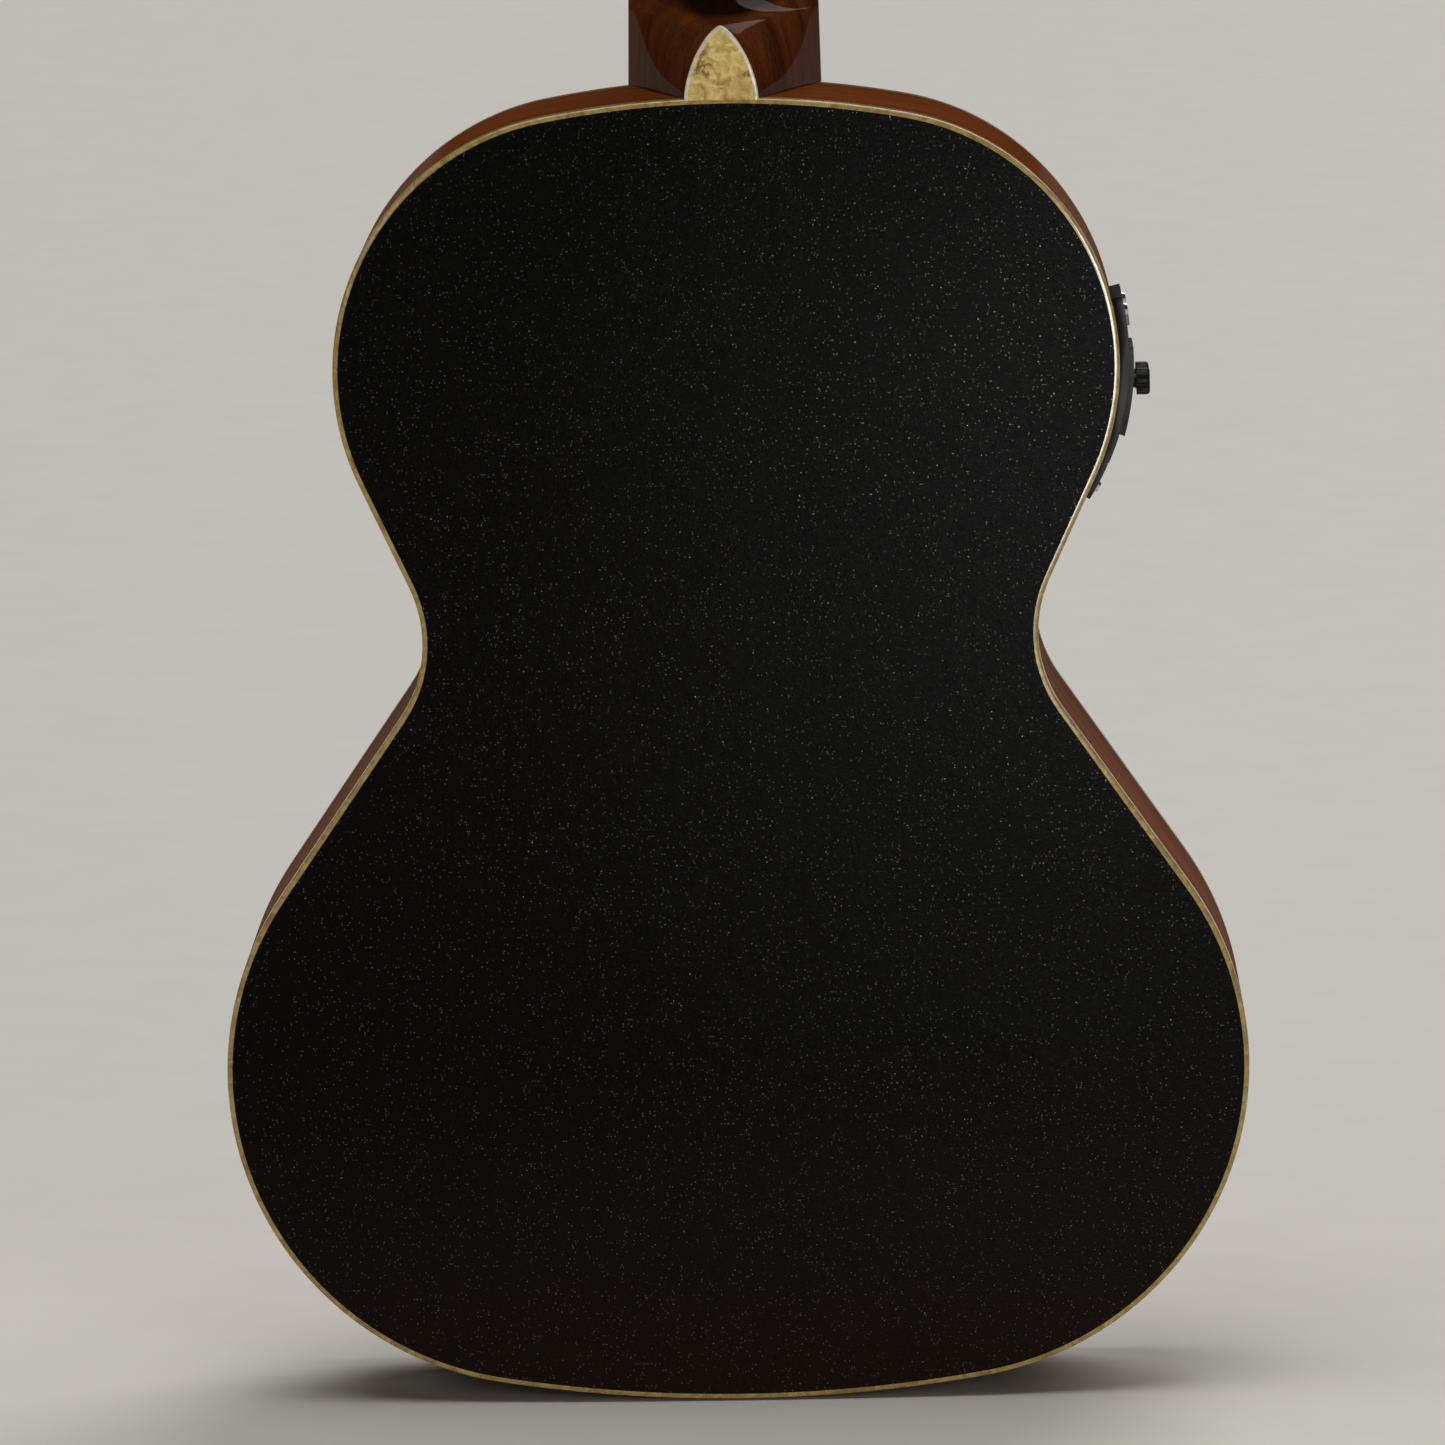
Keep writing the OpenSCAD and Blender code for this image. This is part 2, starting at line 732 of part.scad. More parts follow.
// ==== bridge, saddle, pins and strings
bridge_w = 138;
bridge_deep = 27;
bridge_z = (saddle_z + pin_z) / 2 - 1;
saddle_l = 66;
module bridge() color("#2a1a12")
    difference() {
        union() {
            bar(-44, 44, -bridge_h, 0, bridge_z - bridge_deep / 2, bridge_z + bridge_deep / 2);
            bar(-bridge_w / 2, bridge_w / 2, -4, 0, bridge_z - bridge_deep / 2,
                bridge_z + bridge_deep / 2);
        }
        pin_holes();
        saddle_slot();
        saddle_lead_hole();
    }
module saddle_slot()
    bar(-saddle_l / 2, saddle_l / 2, -20, -bridge_h + 6, saddle_z - 1.5, saddle_z + 1.5);
module saddle_lead_hole()
    translate([saddle_l / 2 - 3, deep / 2, saddle_z])
    rotate([90, 0, 0])
    cylinder(r = 1.3, h = deep / 2 + 3);
saddle_top = saddle_string_y;
pickup_t = 1.4;
module saddle() color("ivory")
    intersection() {
        bar(-saddle_l / 2, saddle_l / 2, -20, -bridge_h + 6 - pickup_t, saddle_z - 1.5, saddle_z + 1.5);
        translate([0, board_r - saddle_top, saddle_z - 5])
        cylinder(r = board_r, h = 10, $fn = 360);
    }
module pickup_strip() color("dimgray")
    bar(-saddle_l / 2, saddle_l / 2, -bridge_h + 6 - pickup_t, -bridge_h + 6,
        saddle_z - 1.4, saddle_z + 1.4);
module bridge_pins() color("ivory")
    for (n = [1:strings_n])
        translate([spread(n, saddle_spread), 0, pin_z])
        difference() {
            rotate([90, 0, 0])
            translate([0, 0, -7])
            union() {
                cylinder(r1 = 2.2, r2 = 2.5, h = 7 + bridge_h);
                translate([0, 0, 7 + bridge_h]) cylinder(r1 = 3.7, r2 = 3.2, h = 1.6);
                translate([0, 0, 7 + bridge_h + 1.6]) cylinder(r1 = 3.2, r2 = 1.6, h = 1.2);
            }
            bar(-0.8, 0.8, -bridge_h - 5, 8, 0.9, 5);
        }
// a round tube of 8 sides along a route in space
tube_seg = 8;
function unit(v) = v / norm(v);
function route_dir(p, i) = unit(
    i == 0 ? p[1] - p[0]
    : i == len(p) - 1 ? p[i] - p[i - 1]
    : unit(p[i + 1] - p[i]) + unit(p[i] - p[i - 1]));
// rings square to the route, each one's first point carried on from the ring before
function route_rings(p, r, side, i = 0) = i == len(p) ? [] : let (
    d = route_dir(p, i),
    u = unit(side - (side * d) * d),
    v = cross(u, d))
    concat(
        [[for (j = [0:tube_seg - 1]) let (a = 360 * j / tube_seg) p[i] + r * (cos(a) * u + sin(a) * v)]],
        route_rings(p, r, u, i + 1));
module tube(route, r) {
    skin(route_rings(route, r, [1, 0.01, 0.02]));
}
function from_head(p) = [p[0],
    p[1] * cos(head_angle) + p[2] * sin(head_angle),
    nut_t - p[1] * sin(head_angle) + p[2] * cos(head_angle)];
wrap_turns = 2.5;
wrap_steps = 30;
function wrap_pts(n) = let (
    d = gauges[n - 1],
    s = post_side(n),
    rad = wrap_r + d / 2)
    [for (i = [0:wrap_steps])
        let (a = 360 * wrap_turns * i / wrap_steps)
        from_head([
            s * (post_x - rad * cos(a)),
            -wrap_y + (d + 0.15) * a / 360,
            string_row(n) + rad * sin(a)])];
function string_route(n) = let (
    r = gauges[n - 1] / 2,
    xn = spread(n, nut_spread),
    xs = spread(n, saddle_spread))
    concat(
        [[xs, 7.5, pin_z + pin_slot_z], [xs, -bridge_h - 1.3, pin_z + pin_slot_z],
        [xs, -saddle_string_y + board_drop(xs) - r - 0.05, saddle_z - 1.7],
        [xn, -nut_string_y + board_drop(xn) - r + 0.05, 0.5],
        [xn, -nut_string_y + board_drop(xn) - r + 0.05, nut_t]],
        wrap_pts(n));
module strings() color("#b08a50")
    for (n = [1:strings_n]) {
        tube(string_route(n), gauges[n - 1] / 2);
        translate([spread(n, saddle_spread), 11.4, pin_z + pin_slot_z])
        rotate([90, 0, 0])
        cylinder(r = 1.9, h = 3.9);
    }

// ==== preamp on the bass side of the upper bout
panel_y = 38;                  // middle of the panel, down from the soundboard
panel_half = 19;
panel_t = 3.2;
seat = 0.05;                   // hair of room between the side and the panel laid on it
panel_from = -32.5;
panel_to = 13;
pod_t = 4.6;
pod_half = 13.6;
pod_from = -17.5;
pod_to = 1.5;
side_x = -upper_out;          // centre of the bass bout's arc
knob_z = body_top - 87;
knob_spacing = 16;
// a stretch of ring round the bass bout's centre, between two radii and two angles
module bout_sector(r0, r1, from, to, drop = 0) {
    intersection() {
        difference() {
            translate([side_x, upper[1] - drop]) circle(r1, $fn = 200);
            translate([side_x, upper[1]]) circle(r0, $fn = 200);
        }
        translate([side_x, upper[1]])
        polygon([[0, 0], 160 * [-cos(from), sin(from)],
            [-175, 160 * (sin(from) + sin(to)) / 2], 160 * [-cos(to), sin(to)]]);
    }
}
box_top = body_top - 65;
box_bottom = body_top - 112;
box_half = 15;
box_in = -82;                  // how far the box reaches into the body
tray_z = body_top - 106.5;
tray_half_t = 4.2;
tray_half_w = 12;
tray_in = -84.5;
module box_space(g)
    bar(-130, box_in + g, panel_y - box_half - g, panel_y + box_half + g, box_bottom - g, box_top + g);
module tray_space(g)
    bar(-130, tray_in + g, panel_y - tray_half_w - g, panel_y + tray_half_w + g,
        tray_z - tray_half_t - g, tray_z + tray_half_t + g);
module inside_bout(extra)
    plate(0, deep) translate([side_x, upper[1]]) circle(upper_r + extra, $fn = 200);
module knob_axis(s)
    translate([0, panel_y + s * knob_spacing / 2, knob_z])
    rotate([0, -90, 0])
    children();
pod_x = side_x - upper_r - pod_t;          // outer face of the pod, about the knobs
module knob_bores(r) {
    for (s = [-1, 1])
        knob_axis(s) translate([0, 0, 90]) cylinder(r = r, h = 60);
}
button_z = body_top - 70;
lens_z0 = body_top - 67;
lens_z1 = body_top - 75;
module button_space(g)
    bar(-130, -upper_r + side_x + 3, panel_y - 12 - g, panel_y - 5 + g, button_z - 2 - g, button_z + 2 + g);
module lens_space(g)
    bar(-130, -upper_r + side_x - 0.6, panel_y - 1 - g, panel_y + 11 + g, lens_z1 - g, lens_z0 + g);
module preamp_panel() color("#151515")
    difference() {
        union() {
            plate(panel_y - panel_half, panel_y + panel_half)
            bout_sector(upper_r + seat, upper_r + panel_t, panel_from, panel_to);
            plate(panel_y - pod_half, panel_y + pod_half)
            bout_sector(upper_r + seat, upper_r + pod_t, pod_from, pod_to, 2.5);
        }
        plate(-1, deep) outline(0);
        tray_space(gap);
        knob_bores(2.05);
        button_space(0.15);
        lens_space(0);
        panel_screw_holes();
    }
module panel_screw_holes() {
    for (s = [-1, 1], a = [panel_from + 3, panel_to - 3])
        translate([side_x, panel_y + s * (panel_half - 3), upper[1]])
        rotate([0, -90 + a, 0])
        cylinder(r = 1.2, h = 100);
}
module preamp_box() color("#202020")
    difference() {
        intersection() {
            box_space(0);
            inside_bout(-0.1);
        }
        tray_space(gap);
        knob_bores(2.05);
        button_space(0.15);
    }
module display_lens() color("#303840")
    intersection() {
        lens_space(0);
        plate(0, deep)
        bout_sector(upper_r, upper_r + panel_t - 0.2, panel_from, panel_to);
    }
module tuner_button() color("#606060")
    intersection() {
        bar(-130, -upper_r + side_x + 0.2, panel_y - 12, panel_y - 5, button_z - 2, button_z + 2);
        plate(0, deep)
        bout_sector(upper_r - 3, upper_r + panel_t + 0.9, panel_from, panel_to);
    }
module control_knob(s) color("#202020")
    knob_axis(s)
    translate([0, 0, -pod_x]) {
        translate([0, 0, 0.7]) {
            cylinder(r1 = knob_d / 2, r2 = knob_d / 2 - 0.3, h = knob_h - 1.2);
            translate([0, 0, knob_h - 1.2])
            cylinder(r1 = knob_d / 2 - 0.3, r2 = knob_d / 2 - 0.8, h = 0.5);
        }
        translate([0, 0, -14]) cylinder(r = 2, h = 14.7);
    }
module volume_knob() control_knob(1);
module tone_knob() control_knob(-1);
cell_r = 10;
module cell_space(g)
    translate([tray_in - 2 - cell_r, panel_y, tray_z - 3.3 - g])
    cylinder(r = cell_r + g, h = 20);
module battery_tray() color("#1c1c1c")
    difference() {
        intersection() {
            tray_space(-0.05);
            inside_bout(panel_t + 0.6);
        }
        cell_space(0.1);
    }
module coin_cells() color("silver")
    for (i = [0, 1])
        translate([tray_in - 2 - cell_r, panel_y, tray_z - 3.3 + i * 3.3])
        cylinder(r = cell_r, h = 3.2);

// ==== output jack, low on the treble side
jack_r = 4.6;
jack_a = -60;
jack_y = 36;
jack_plate_t = 1.6;
module jack_axis()
    translate([lower[0] + lower_r * cos(jack_a), jack_y, lower[1] + lower_r * sin(jack_a)])
    rotate([0, 90 - jack_a, 0])
    children();
module jack_plate() color("silver")
    difference() {
        plate(jack_y - 11, jack_y + 11)
        intersection() {
            difference() {
                translate(lower) circle(lower_r + jack_plate_t, $fn = 200);
                translate(lower) circle(lower_r, $fn = 200);
            }
            translate(lower)
            polygon([[0, 0], 120 * [cos(jack_a - 11), sin(jack_a - 11)],
                120 * [cos(jack_a + 11), sin(jack_a + 11)]]);
        }
        jack_axis() cylinder(r = jack_r + 0.1, h = 20, center = true);
        jack_plate_screws() cylinder(r = 1.2, h = 20, center = true);
    }
module jack_plate_screws()
    for (a = [-8, 8])
        translate([lower[0] + lower_r * cos(jack_a + a), jack_y, lower[1] + lower_r * sin(jack_a + a)])
        rotate([0, 90 - jack_a - a, 0])
        children();
socket_r = 3.2;
module output_jack() color("silver")
    jack_axis()
    difference() {
        union() {
            translate([0, 0, -24]) cylinder(r = 6.5, h = 20);
            translate([0, 0, -24]) cylinder(r = jack_r, h = 24 + jack_plate_t + 2.4);
            translate([0, 0, jack_plate_t + 0.3]) cylinder(r = 7, h = 1.8, $fn = 6);
        }
        translate([0, 0, -22]) cylinder(r = socket_r, h = 30);
    }
function in_from_jack(d) = [lower[0] + (lower_r - d) * cos(jack_a), jack_y,
    lower[1] + (lower_r - d) * sin(jack_a)];
// signal wires held inside the body: saddle pickup to preamp, and preamp to jack
module leads() color("#222222") {
    tube([[saddle_l / 2 - 3, -2, saddle_z], [saddle_l / 2 - 3, 10, saddle_z], [28, 17, -578],
        [20, 19, -560], [-10, 19, -520], [-52, 19, -480], [-80, 19, -458], [-89, 22, -448],
        [-90, 28, -442], [-90, 30, box_bottom]], 0.9);
    tube([[-94, 46, box_bottom], [-94, 46, -444], [-87, 46, -462], [-84, 46, -481], [-87, 46, -500],
        [-98, 46, -530], [-113, 46, -560], [-124, 46, -600], [-118, 46, -640], [-92, 46, -664],
        [-50, 46, -672], [0, 46, -673], [40, 43, -668], [66, 38, -660], [77, 36, -654],
        in_from_jack(36), in_from_jack(24)], 1.4);
}

// ==== wood screws: tuning machine plates, rod cover, panel and jack plate
module wood_screw(head_r = 2.1, l = 8) {
    difference() {
        union() {
            translate([0, 0, -l]) cylinder(r = 1.1, h = l + 0.1);
            cylinder(r1 = head_r, r2 = head_r - 0.6, h = 0.9);
        }
        translate([0, 0, 1])
        cube([head_r * 1.6, 0.5, 1], center = true);
    }
}
module screws() color("silver") {
    on_head() {
        for (side = [-1, 1], z = plate_screw_rows)
            translate([side * (post_x + 0.5), head_t + plate_t, z])
            rotate([-90, 0, 0])
            wood_screw(l = plate_t);
        for (p = cover_screws)
            translate([p[0], -overlay_t - cover_t, p[1]])
            rotate([90, 0, 0])
            wood_screw(1.9, cover_t);
    }
    for (s = [-1, 1], a = [panel_from + 3, panel_to - 3])
        translate([side_x, panel_y + s * (panel_half - 3), upper[1]])
        rotate([0, -90 + a, 0])
        translate([0, 0, upper_r + panel_t])
        wood_screw(1.9, panel_t - 0.3);
    jack_plate_screws()
    translate([0, 0, jack_plate_t])
    wood_screw(1.9, jack_plate_t - 0.3);
}

soundboard();
rosette();
bass_side();
treble_side();
back_plate();
front_binding();
back_binding();
neck_block();
tail_block();
linings();
x_brace_bass();
x_brace_treble();
soundboard_braces();
bridge_plate();
back_braces();
neck();
headstock();
headstock_overlay();
heel_cap();
fretboard();
frets();
fret_dots();
nut();
truss_rod();
truss_rod_nut();
truss_rod_cover();
neck_bolts();
bridge();
saddle();
bridge_pins();
strings();
preamp_panel();
preamp_box();
volume_knob();
tone_knob();
tuner_button();
display_lens();
battery_tray();
coin_cells();
jack_plate();
output_jack();
pickup_strip();
leads();
tuner_plate_bass();
tuner_plate_treble();
tuner_bushings();
screws();
for (n = [1:strings_n]) {
    tuner_post(n);
    tuner_knob(n);
}
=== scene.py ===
import json
from math import acos, asin, atan2, cos, hypot, pi, radians, sin, sqrt

import bmesh
import bpy
from mathutils import Matrix, Vector

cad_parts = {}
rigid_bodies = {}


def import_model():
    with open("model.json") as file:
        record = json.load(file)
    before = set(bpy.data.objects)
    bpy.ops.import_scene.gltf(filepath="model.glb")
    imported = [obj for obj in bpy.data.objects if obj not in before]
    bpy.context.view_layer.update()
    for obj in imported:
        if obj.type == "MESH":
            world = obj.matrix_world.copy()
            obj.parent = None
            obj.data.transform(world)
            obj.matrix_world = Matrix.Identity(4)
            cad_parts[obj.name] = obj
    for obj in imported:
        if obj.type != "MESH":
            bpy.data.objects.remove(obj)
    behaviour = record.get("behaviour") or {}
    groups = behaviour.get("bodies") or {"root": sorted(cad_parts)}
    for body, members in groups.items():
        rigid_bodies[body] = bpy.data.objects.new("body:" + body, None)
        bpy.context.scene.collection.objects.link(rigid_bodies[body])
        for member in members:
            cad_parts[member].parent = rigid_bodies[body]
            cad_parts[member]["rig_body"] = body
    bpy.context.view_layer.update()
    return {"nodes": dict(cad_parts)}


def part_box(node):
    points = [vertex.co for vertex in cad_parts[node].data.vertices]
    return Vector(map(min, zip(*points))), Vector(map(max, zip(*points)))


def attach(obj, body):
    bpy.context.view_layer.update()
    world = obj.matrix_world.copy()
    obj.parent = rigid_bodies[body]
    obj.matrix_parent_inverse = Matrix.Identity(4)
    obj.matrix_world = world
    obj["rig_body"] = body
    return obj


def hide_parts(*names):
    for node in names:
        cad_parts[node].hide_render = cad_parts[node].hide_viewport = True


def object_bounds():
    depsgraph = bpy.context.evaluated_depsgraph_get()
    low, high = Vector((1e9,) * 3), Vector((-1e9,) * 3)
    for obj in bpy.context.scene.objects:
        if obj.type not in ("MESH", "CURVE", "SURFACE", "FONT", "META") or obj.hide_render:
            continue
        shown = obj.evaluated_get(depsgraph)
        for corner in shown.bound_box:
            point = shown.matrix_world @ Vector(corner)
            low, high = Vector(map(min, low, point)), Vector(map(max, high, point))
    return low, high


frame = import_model()
print("frame loaded,", len(frame["nodes"]), "pieces")

scene = bpy.context.scene
scene.view_settings.view_transform = "Standard"

# camera, behind the guitar and a little above its middle
cameraSet = dict(target=(0.0026, 0.088, -0.5042), elevation=7.6, aside=-0.94, distance=3.5, frameWidth=0.4196,
                 roll=-1.02)


def placeCamera(s):
    data = bpy.data.cameras.new("camera")
    data.sensor_width = 36
    data.lens = data.sensor_width * s["distance"] / s["frameWidth"]
    data.clip_start, data.clip_end = 0.1, 100
    camera = bpy.data.objects.new("camera", data)
    scene.collection.objects.link(camera)
    tilt, aside = radians(s["elevation"]), radians(s["aside"])
    back = Vector((sin(aside) * cos(tilt), cos(aside) * cos(tilt), sin(tilt)))
    turn = (-back).to_track_quat("-Z", "Y").to_matrix().to_4x4() @ Matrix.Rotation(radians(s["roll"]), 4, "Z")
    camera.matrix_world = Matrix.Translation(Vector(s["target"]) + back * s["distance"]) @ turn
    scene.camera = camera


placeCamera(cameraSet)


# levels that several pieces share: the top of the body, and the tip of the heel cap
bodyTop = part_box("front_binding")[1].z
neckSet = dict(nutWidth=0.045, jointWidth=0.057, depth=0.0145, swell=0.0025, start=0.005, sweep=0.042,
               intoBody=0.0012, around=22, shaftRows=24, sweepRows=26, heelRows=18, crowding=1.7,
               capLength=0.021, capHalf=0.0108, capThickness=0.0025)
capTip = bodyTop + neckSet["capLength"]


# colours and shader nodes
def hexColour(code):
    parts = [int(code[i:i + 2], 16) / 255 for i in (0, 2, 4)]
    return tuple(p / 12.92 if p <= 0.04045 else ((p + 0.055) / 1.055) ** 2.4 for p in parts) + (1.0,)


def addNode(tree, kind, sockets=None, **settings):
    made = tree.nodes.new("ShaderNode" + kind)
    for key, value in settings.items():
        setattr(made, key, value)
    for socket, value in (sockets or {}).items():
        if isinstance(value, bpy.types.NodeSocket):
            tree.links.new(value, made.inputs[socket])
        else:
            made.inputs[socket].default_value = value
    return made


def mixColour(tree, factor, a, b):
    return addNode(tree, "Mix", {0: factor, 6: a, 7: b}, data_type="RGBA").outputs[2]


def maths(tree, operation, a, b=0.0, c=0.0):
    return addNode(tree, "Math", {0: a, 1: b, 2: c}, operation=operation).outputs[0]


def noise(tree, vector, scale=1.0, detail=2.0, distortion=0.0):
    sockets = {"Vector": vector, "Scale": scale, "Detail": detail, "Distortion": distortion}
    return addNode(tree, "TexNoise", sockets).outputs["Fac"]


def stretched(tree, vector, x, y, z):
    return addNode(tree, "Mapping", {"Vector": vector, "Scale": (x, y, z)}).outputs[0]


def ranged(tree, value, fromLow, fromHigh, low, high):
    sockets = {"Value": value, "From Min": fromLow, "From Max": fromHigh, "To Min": low, "To Max": high}
    return addNode(tree, "MapRange", sockets).outputs[0]


def newGroup(name, inputs, outputs):
    tree = bpy.data.node_groups.new(name, "ShaderNodeTree")
    for label, kind, value in inputs:
        socket = tree.interface.new_socket(label, in_out="INPUT", socket_type="NodeSocket" + kind)
        if value is not None:
            socket.default_value = value
    for label, kind in outputs:
        tree.interface.new_socket(label, in_out="OUTPUT", socket_type="NodeSocket" + kind)
    start, end = tree.nodes.new("NodeGroupInput"), tree.nodes.new("NodeGroupOutput")
    return tree, start.outputs, end.inputs


def woodGrainGroup():
    # grain runs along X; bands of figure, fine fibres and short open pores
    tree, given, out = newGroup(
        "woodGrain",
        [("Vector", "Vector", None), ("Pale", "Color", (0.3, 0.2, 0.1, 1)),
         ("Dark", "Color", (0.1, 0.05, 0.03, 1)), ("Pore", "Color", (0.02, 0.01, 0.01, 1)),
         ("Pores", "Float", 0.6), ("Bands", "Float", 60.0)],
        [("Color", "Color"), ("Height", "Float"), ("Roughness", "Float")])
    bands = noise(tree, stretched(tree, given["Vector"], 0.09, 1, 1), given["Bands"], 3.0, 0.9)
    fibres = noise(tree, stretched(tree, given["Vector"], 30, 1300, 1300), 1.0, 2.0)
    streaks = noise(tree, stretched(tree, given["Vector"], 110, 2300, 2300), 1.0, 1.0)
    pores = ranged(tree, streaks, 0.60, 0.72, 0.0, 1.0)
    tone = maths(tree, "MULTIPLY_ADD", fibres, 0.45, maths(tree, "MULTIPLY", bands, 0.75))
    tone = ranged(tree, tone, 0.38, 0.84, 0.0, 1.0)
    colour = mixColour(tree, tone, given["Dark"], given["Pale"])
    dark = maths(tree, "MULTIPLY", pores, given["Pores"])
    tree.links.new(mixColour(tree, dark, colour, given["Pore"]), out["Color"])
    height = maths(tree, "MULTIPLY_ADD", dark, -1.0, maths(tree, "MULTIPLY", fibres, 0.3))
    dullness = maths(tree, "MULTIPLY_ADD", dark, 0.3, maths(tree, "MULTIPLY", fibres, 0.12))
    tree.links.new(height, out["Height"])
    tree.links.new(dullness, out["Roughness"])
    return tree


def handlingGroup():
    # a value that drifts over the surface, as from handling: broad patches and fine scuffs
    tree, given, out = newGroup(
        "handling",
        [("Vector", "Vector", None), ("Patch", "Float", 40.0), ("Low", "Float", 0.2), ("High", "Float", 0.4)],
        [("Value", "Float")])
    patches = noise(tree, given["Vector"], given["Patch"], 4.0, 0.4)
    scuffs = noise(tree, stretched(tree, given["Vector"], 900, 260, 900), 1.0, 3.0)
    both = maths(tree, "MULTIPLY_ADD", scuffs, 0.35, maths(tree, "MULTIPLY", patches, 0.65))
    tree.links.new(ranged(tree, both, 0.32, 0.68, given["Low"], given["High"]), out["Value"])
    return tree


def pearlGroup():
    # swirled flakes between two tones, with dark cracks between some of them
    tree, given, out = newGroup(
        "pearlFlakes",
        [("Vector", "Vector", None), ("Flakes", "Float", 260.0), ("Base", "Color", (0.4, 0.3, 0.1, 1)),
         ("Light", "Color", (0.8, 0.7, 0.5, 1)), ("Crack", "Color", (0.1, 0.06, 0.01, 1)),
         ("Cracks", "Float", 0.5)],
        [("Color", "Color"), ("Height", "Float")])
    swirl = addNode(tree, "TexNoise", {"Vector": given["Vector"], "Scale": 170.0, "Detail": 3.0})
    drift = addNode(tree, "VectorMath", {0: swirl.outputs["Color"], 1: (0.008, 0.008, 0.008)},
                    operation="MULTIPLY").outputs[0]
    vector = addNode(tree, "VectorMath", {0: given["Vector"], 1: drift}, operation="ADD").outputs[0]
    sockets = {"Vector": vector, "Scale": given["Flakes"]}
    cells = addNode(tree, "TexVoronoi", sockets)
    edges = addNode(tree, "TexVoronoi", sockets, feature="DISTANCE_TO_EDGE")
    grey = addNode(tree, "SeparateColor", {0: cells.outputs["Color"]}).outputs[0]
    soft = noise(tree, vector, 160.0, 3.0, 2.2)
    tone = maths(tree, "MULTIPLY_ADD", soft, 1.0, maths(tree, "MULTIPLY", grey, 0.2))
    colour = mixColour(tree, ranged(tree, tone, 0.38, 0.86, 0.0, 1.0), given["Base"], given["Light"])
    gate = ranged(tree, noise(tree, given["Vector"], 120.0, 2.0), 0.48, 0.56, 0.0, 1.0)
    line = ranged(tree, edges.outputs["Distance"], 0.0, 0.045, 1.0, 0.0)
    line = maths(tree, "MULTIPLY", maths(tree, "MULTIPLY", line, gate), given["Cracks"])
    tree.links.new(mixColour(tree, line, colour, given["Crack"]), out["Color"])
    tree.links.new(maths(tree, "MULTIPLY_ADD", line, -0.6, maths(tree, "MULTIPLY", soft, 0.3)), out["Height"])
    return tree


def peelGroup():
    # sprayed finish: orange peel, and single grains that catch the light
    tree, given, out = newGroup(
        "sprayedPeel", [("Vector", "Vector", None), ("Grain", "Float", 1500.0)],
        [("Height", "Float"), ("Sparkle", "Float")])
    turned = addNode(tree, "Mapping", {"Vector": given["Vector"], "Rotation": (pi / 2, 0, 0)}).outputs[0]
    fine = noise(tree, given["Vector"], given["Grain"], 2.0, 0.2)
    broad = noise(tree, given["Vector"], 330.0, 2.0)
    cells = addNode(tree, "TexVoronoi", {"Vector": turned, "Scale": 1500.0}, voronoi_dimensions="2D")
    pick = addNode(tree, "SeparateColor", {0: cells.outputs["Color"]}).outputs[1]
    lit = ranged(tree, pick, 0.90, 1.0, 0.0, 1.0)
    spot = ranged(tree, cells.outputs["Distance"], 0.15, 0.38, 1.0, 0.0)
    height = maths(tree, "MULTIPLY_ADD", broad, 0.35, maths(tree, "MULTIPLY", fine, 0.65))
    tree.links.new(height, out["Height"])
    tree.links.new(maths(tree, "MULTIPLY", lit, spot), out["Sparkle"])
    return tree


woodGrain, handling, pearlFlakes, sprayedPeel = woodGrainGroup(), handlingGroup(), pearlGroup(), peelGroup()


def newFinish(name, **shader):
    finish = bpy.data.materials.new(name)
    finish.use_nodes = True
    tree = finish.node_tree
    surface = tree.nodes["Principled BSDF"]
    for socket, value in shader.items():
        surface.inputs[socket.replace("_", " ")].default_value = value
    where = tree.nodes.new("ShaderNodeTexCoord").outputs
    return finish, tree, surface, where


def useGroup(tree, group, sockets):
    made = tree.nodes.new("ShaderNodeGroup")
    made.node_tree = group
    for socket, value in sockets.items():
        if isinstance(value, bpy.types.NodeSocket):
            tree.links.new(value, made.inputs[socket])
        else:
            made.inputs[socket].default_value = value
    return made.outputs


def addBump(tree, surface, height, strength, distance=0.0002):
    bump = addNode(tree, "Bump", {"Height": height, "Strength": strength, "Distance": distance})
    tree.links.new(bump.outputs[0], surface.inputs["Normal"])


def varyRoughness(tree, surface, vector, low, high, patch=40.0):
    sockets = {"Vector": vector, "Patch": patch, "Low": low, "High": high}
    tree.links.new(useGroup(tree, handling, sockets)["Value"], surface.inputs["Roughness"])


def paintedShaftShade(tree, where):
    # painted shade down the middle of the neck where it turns away from the light, spreading as it leaves the
    # heel
    parts = addNode(tree, "SeparateXYZ", {0: where["Object"]}).outputs
    reach = maths(tree, "ADD", ranged(tree, parts[2], capTip - 0.001, capTip + 0.005, 0.003, 0.013),
                  ranged(tree, parts[2], capTip + 0.005, capTip + 0.06, 0.0, 0.009))
    across = maths(tree, "DIVIDE", maths(tree, "ABSOLUTE", parts[0]), reach)
    sockets = {"Value": across, "From Min": 1.9, "From Max": 0.7, "To Min": 0.0, "To Max": 0.93}
    middle = addNode(tree, "MapRange", sockets, interpolation_type="SMOOTHSTEP").outputs[0]
    return maths(tree, "MULTIPLY", middle, ranged(tree, parts[2], capTip - 0.001, capTip + 0.002, 0.0, 1.0))


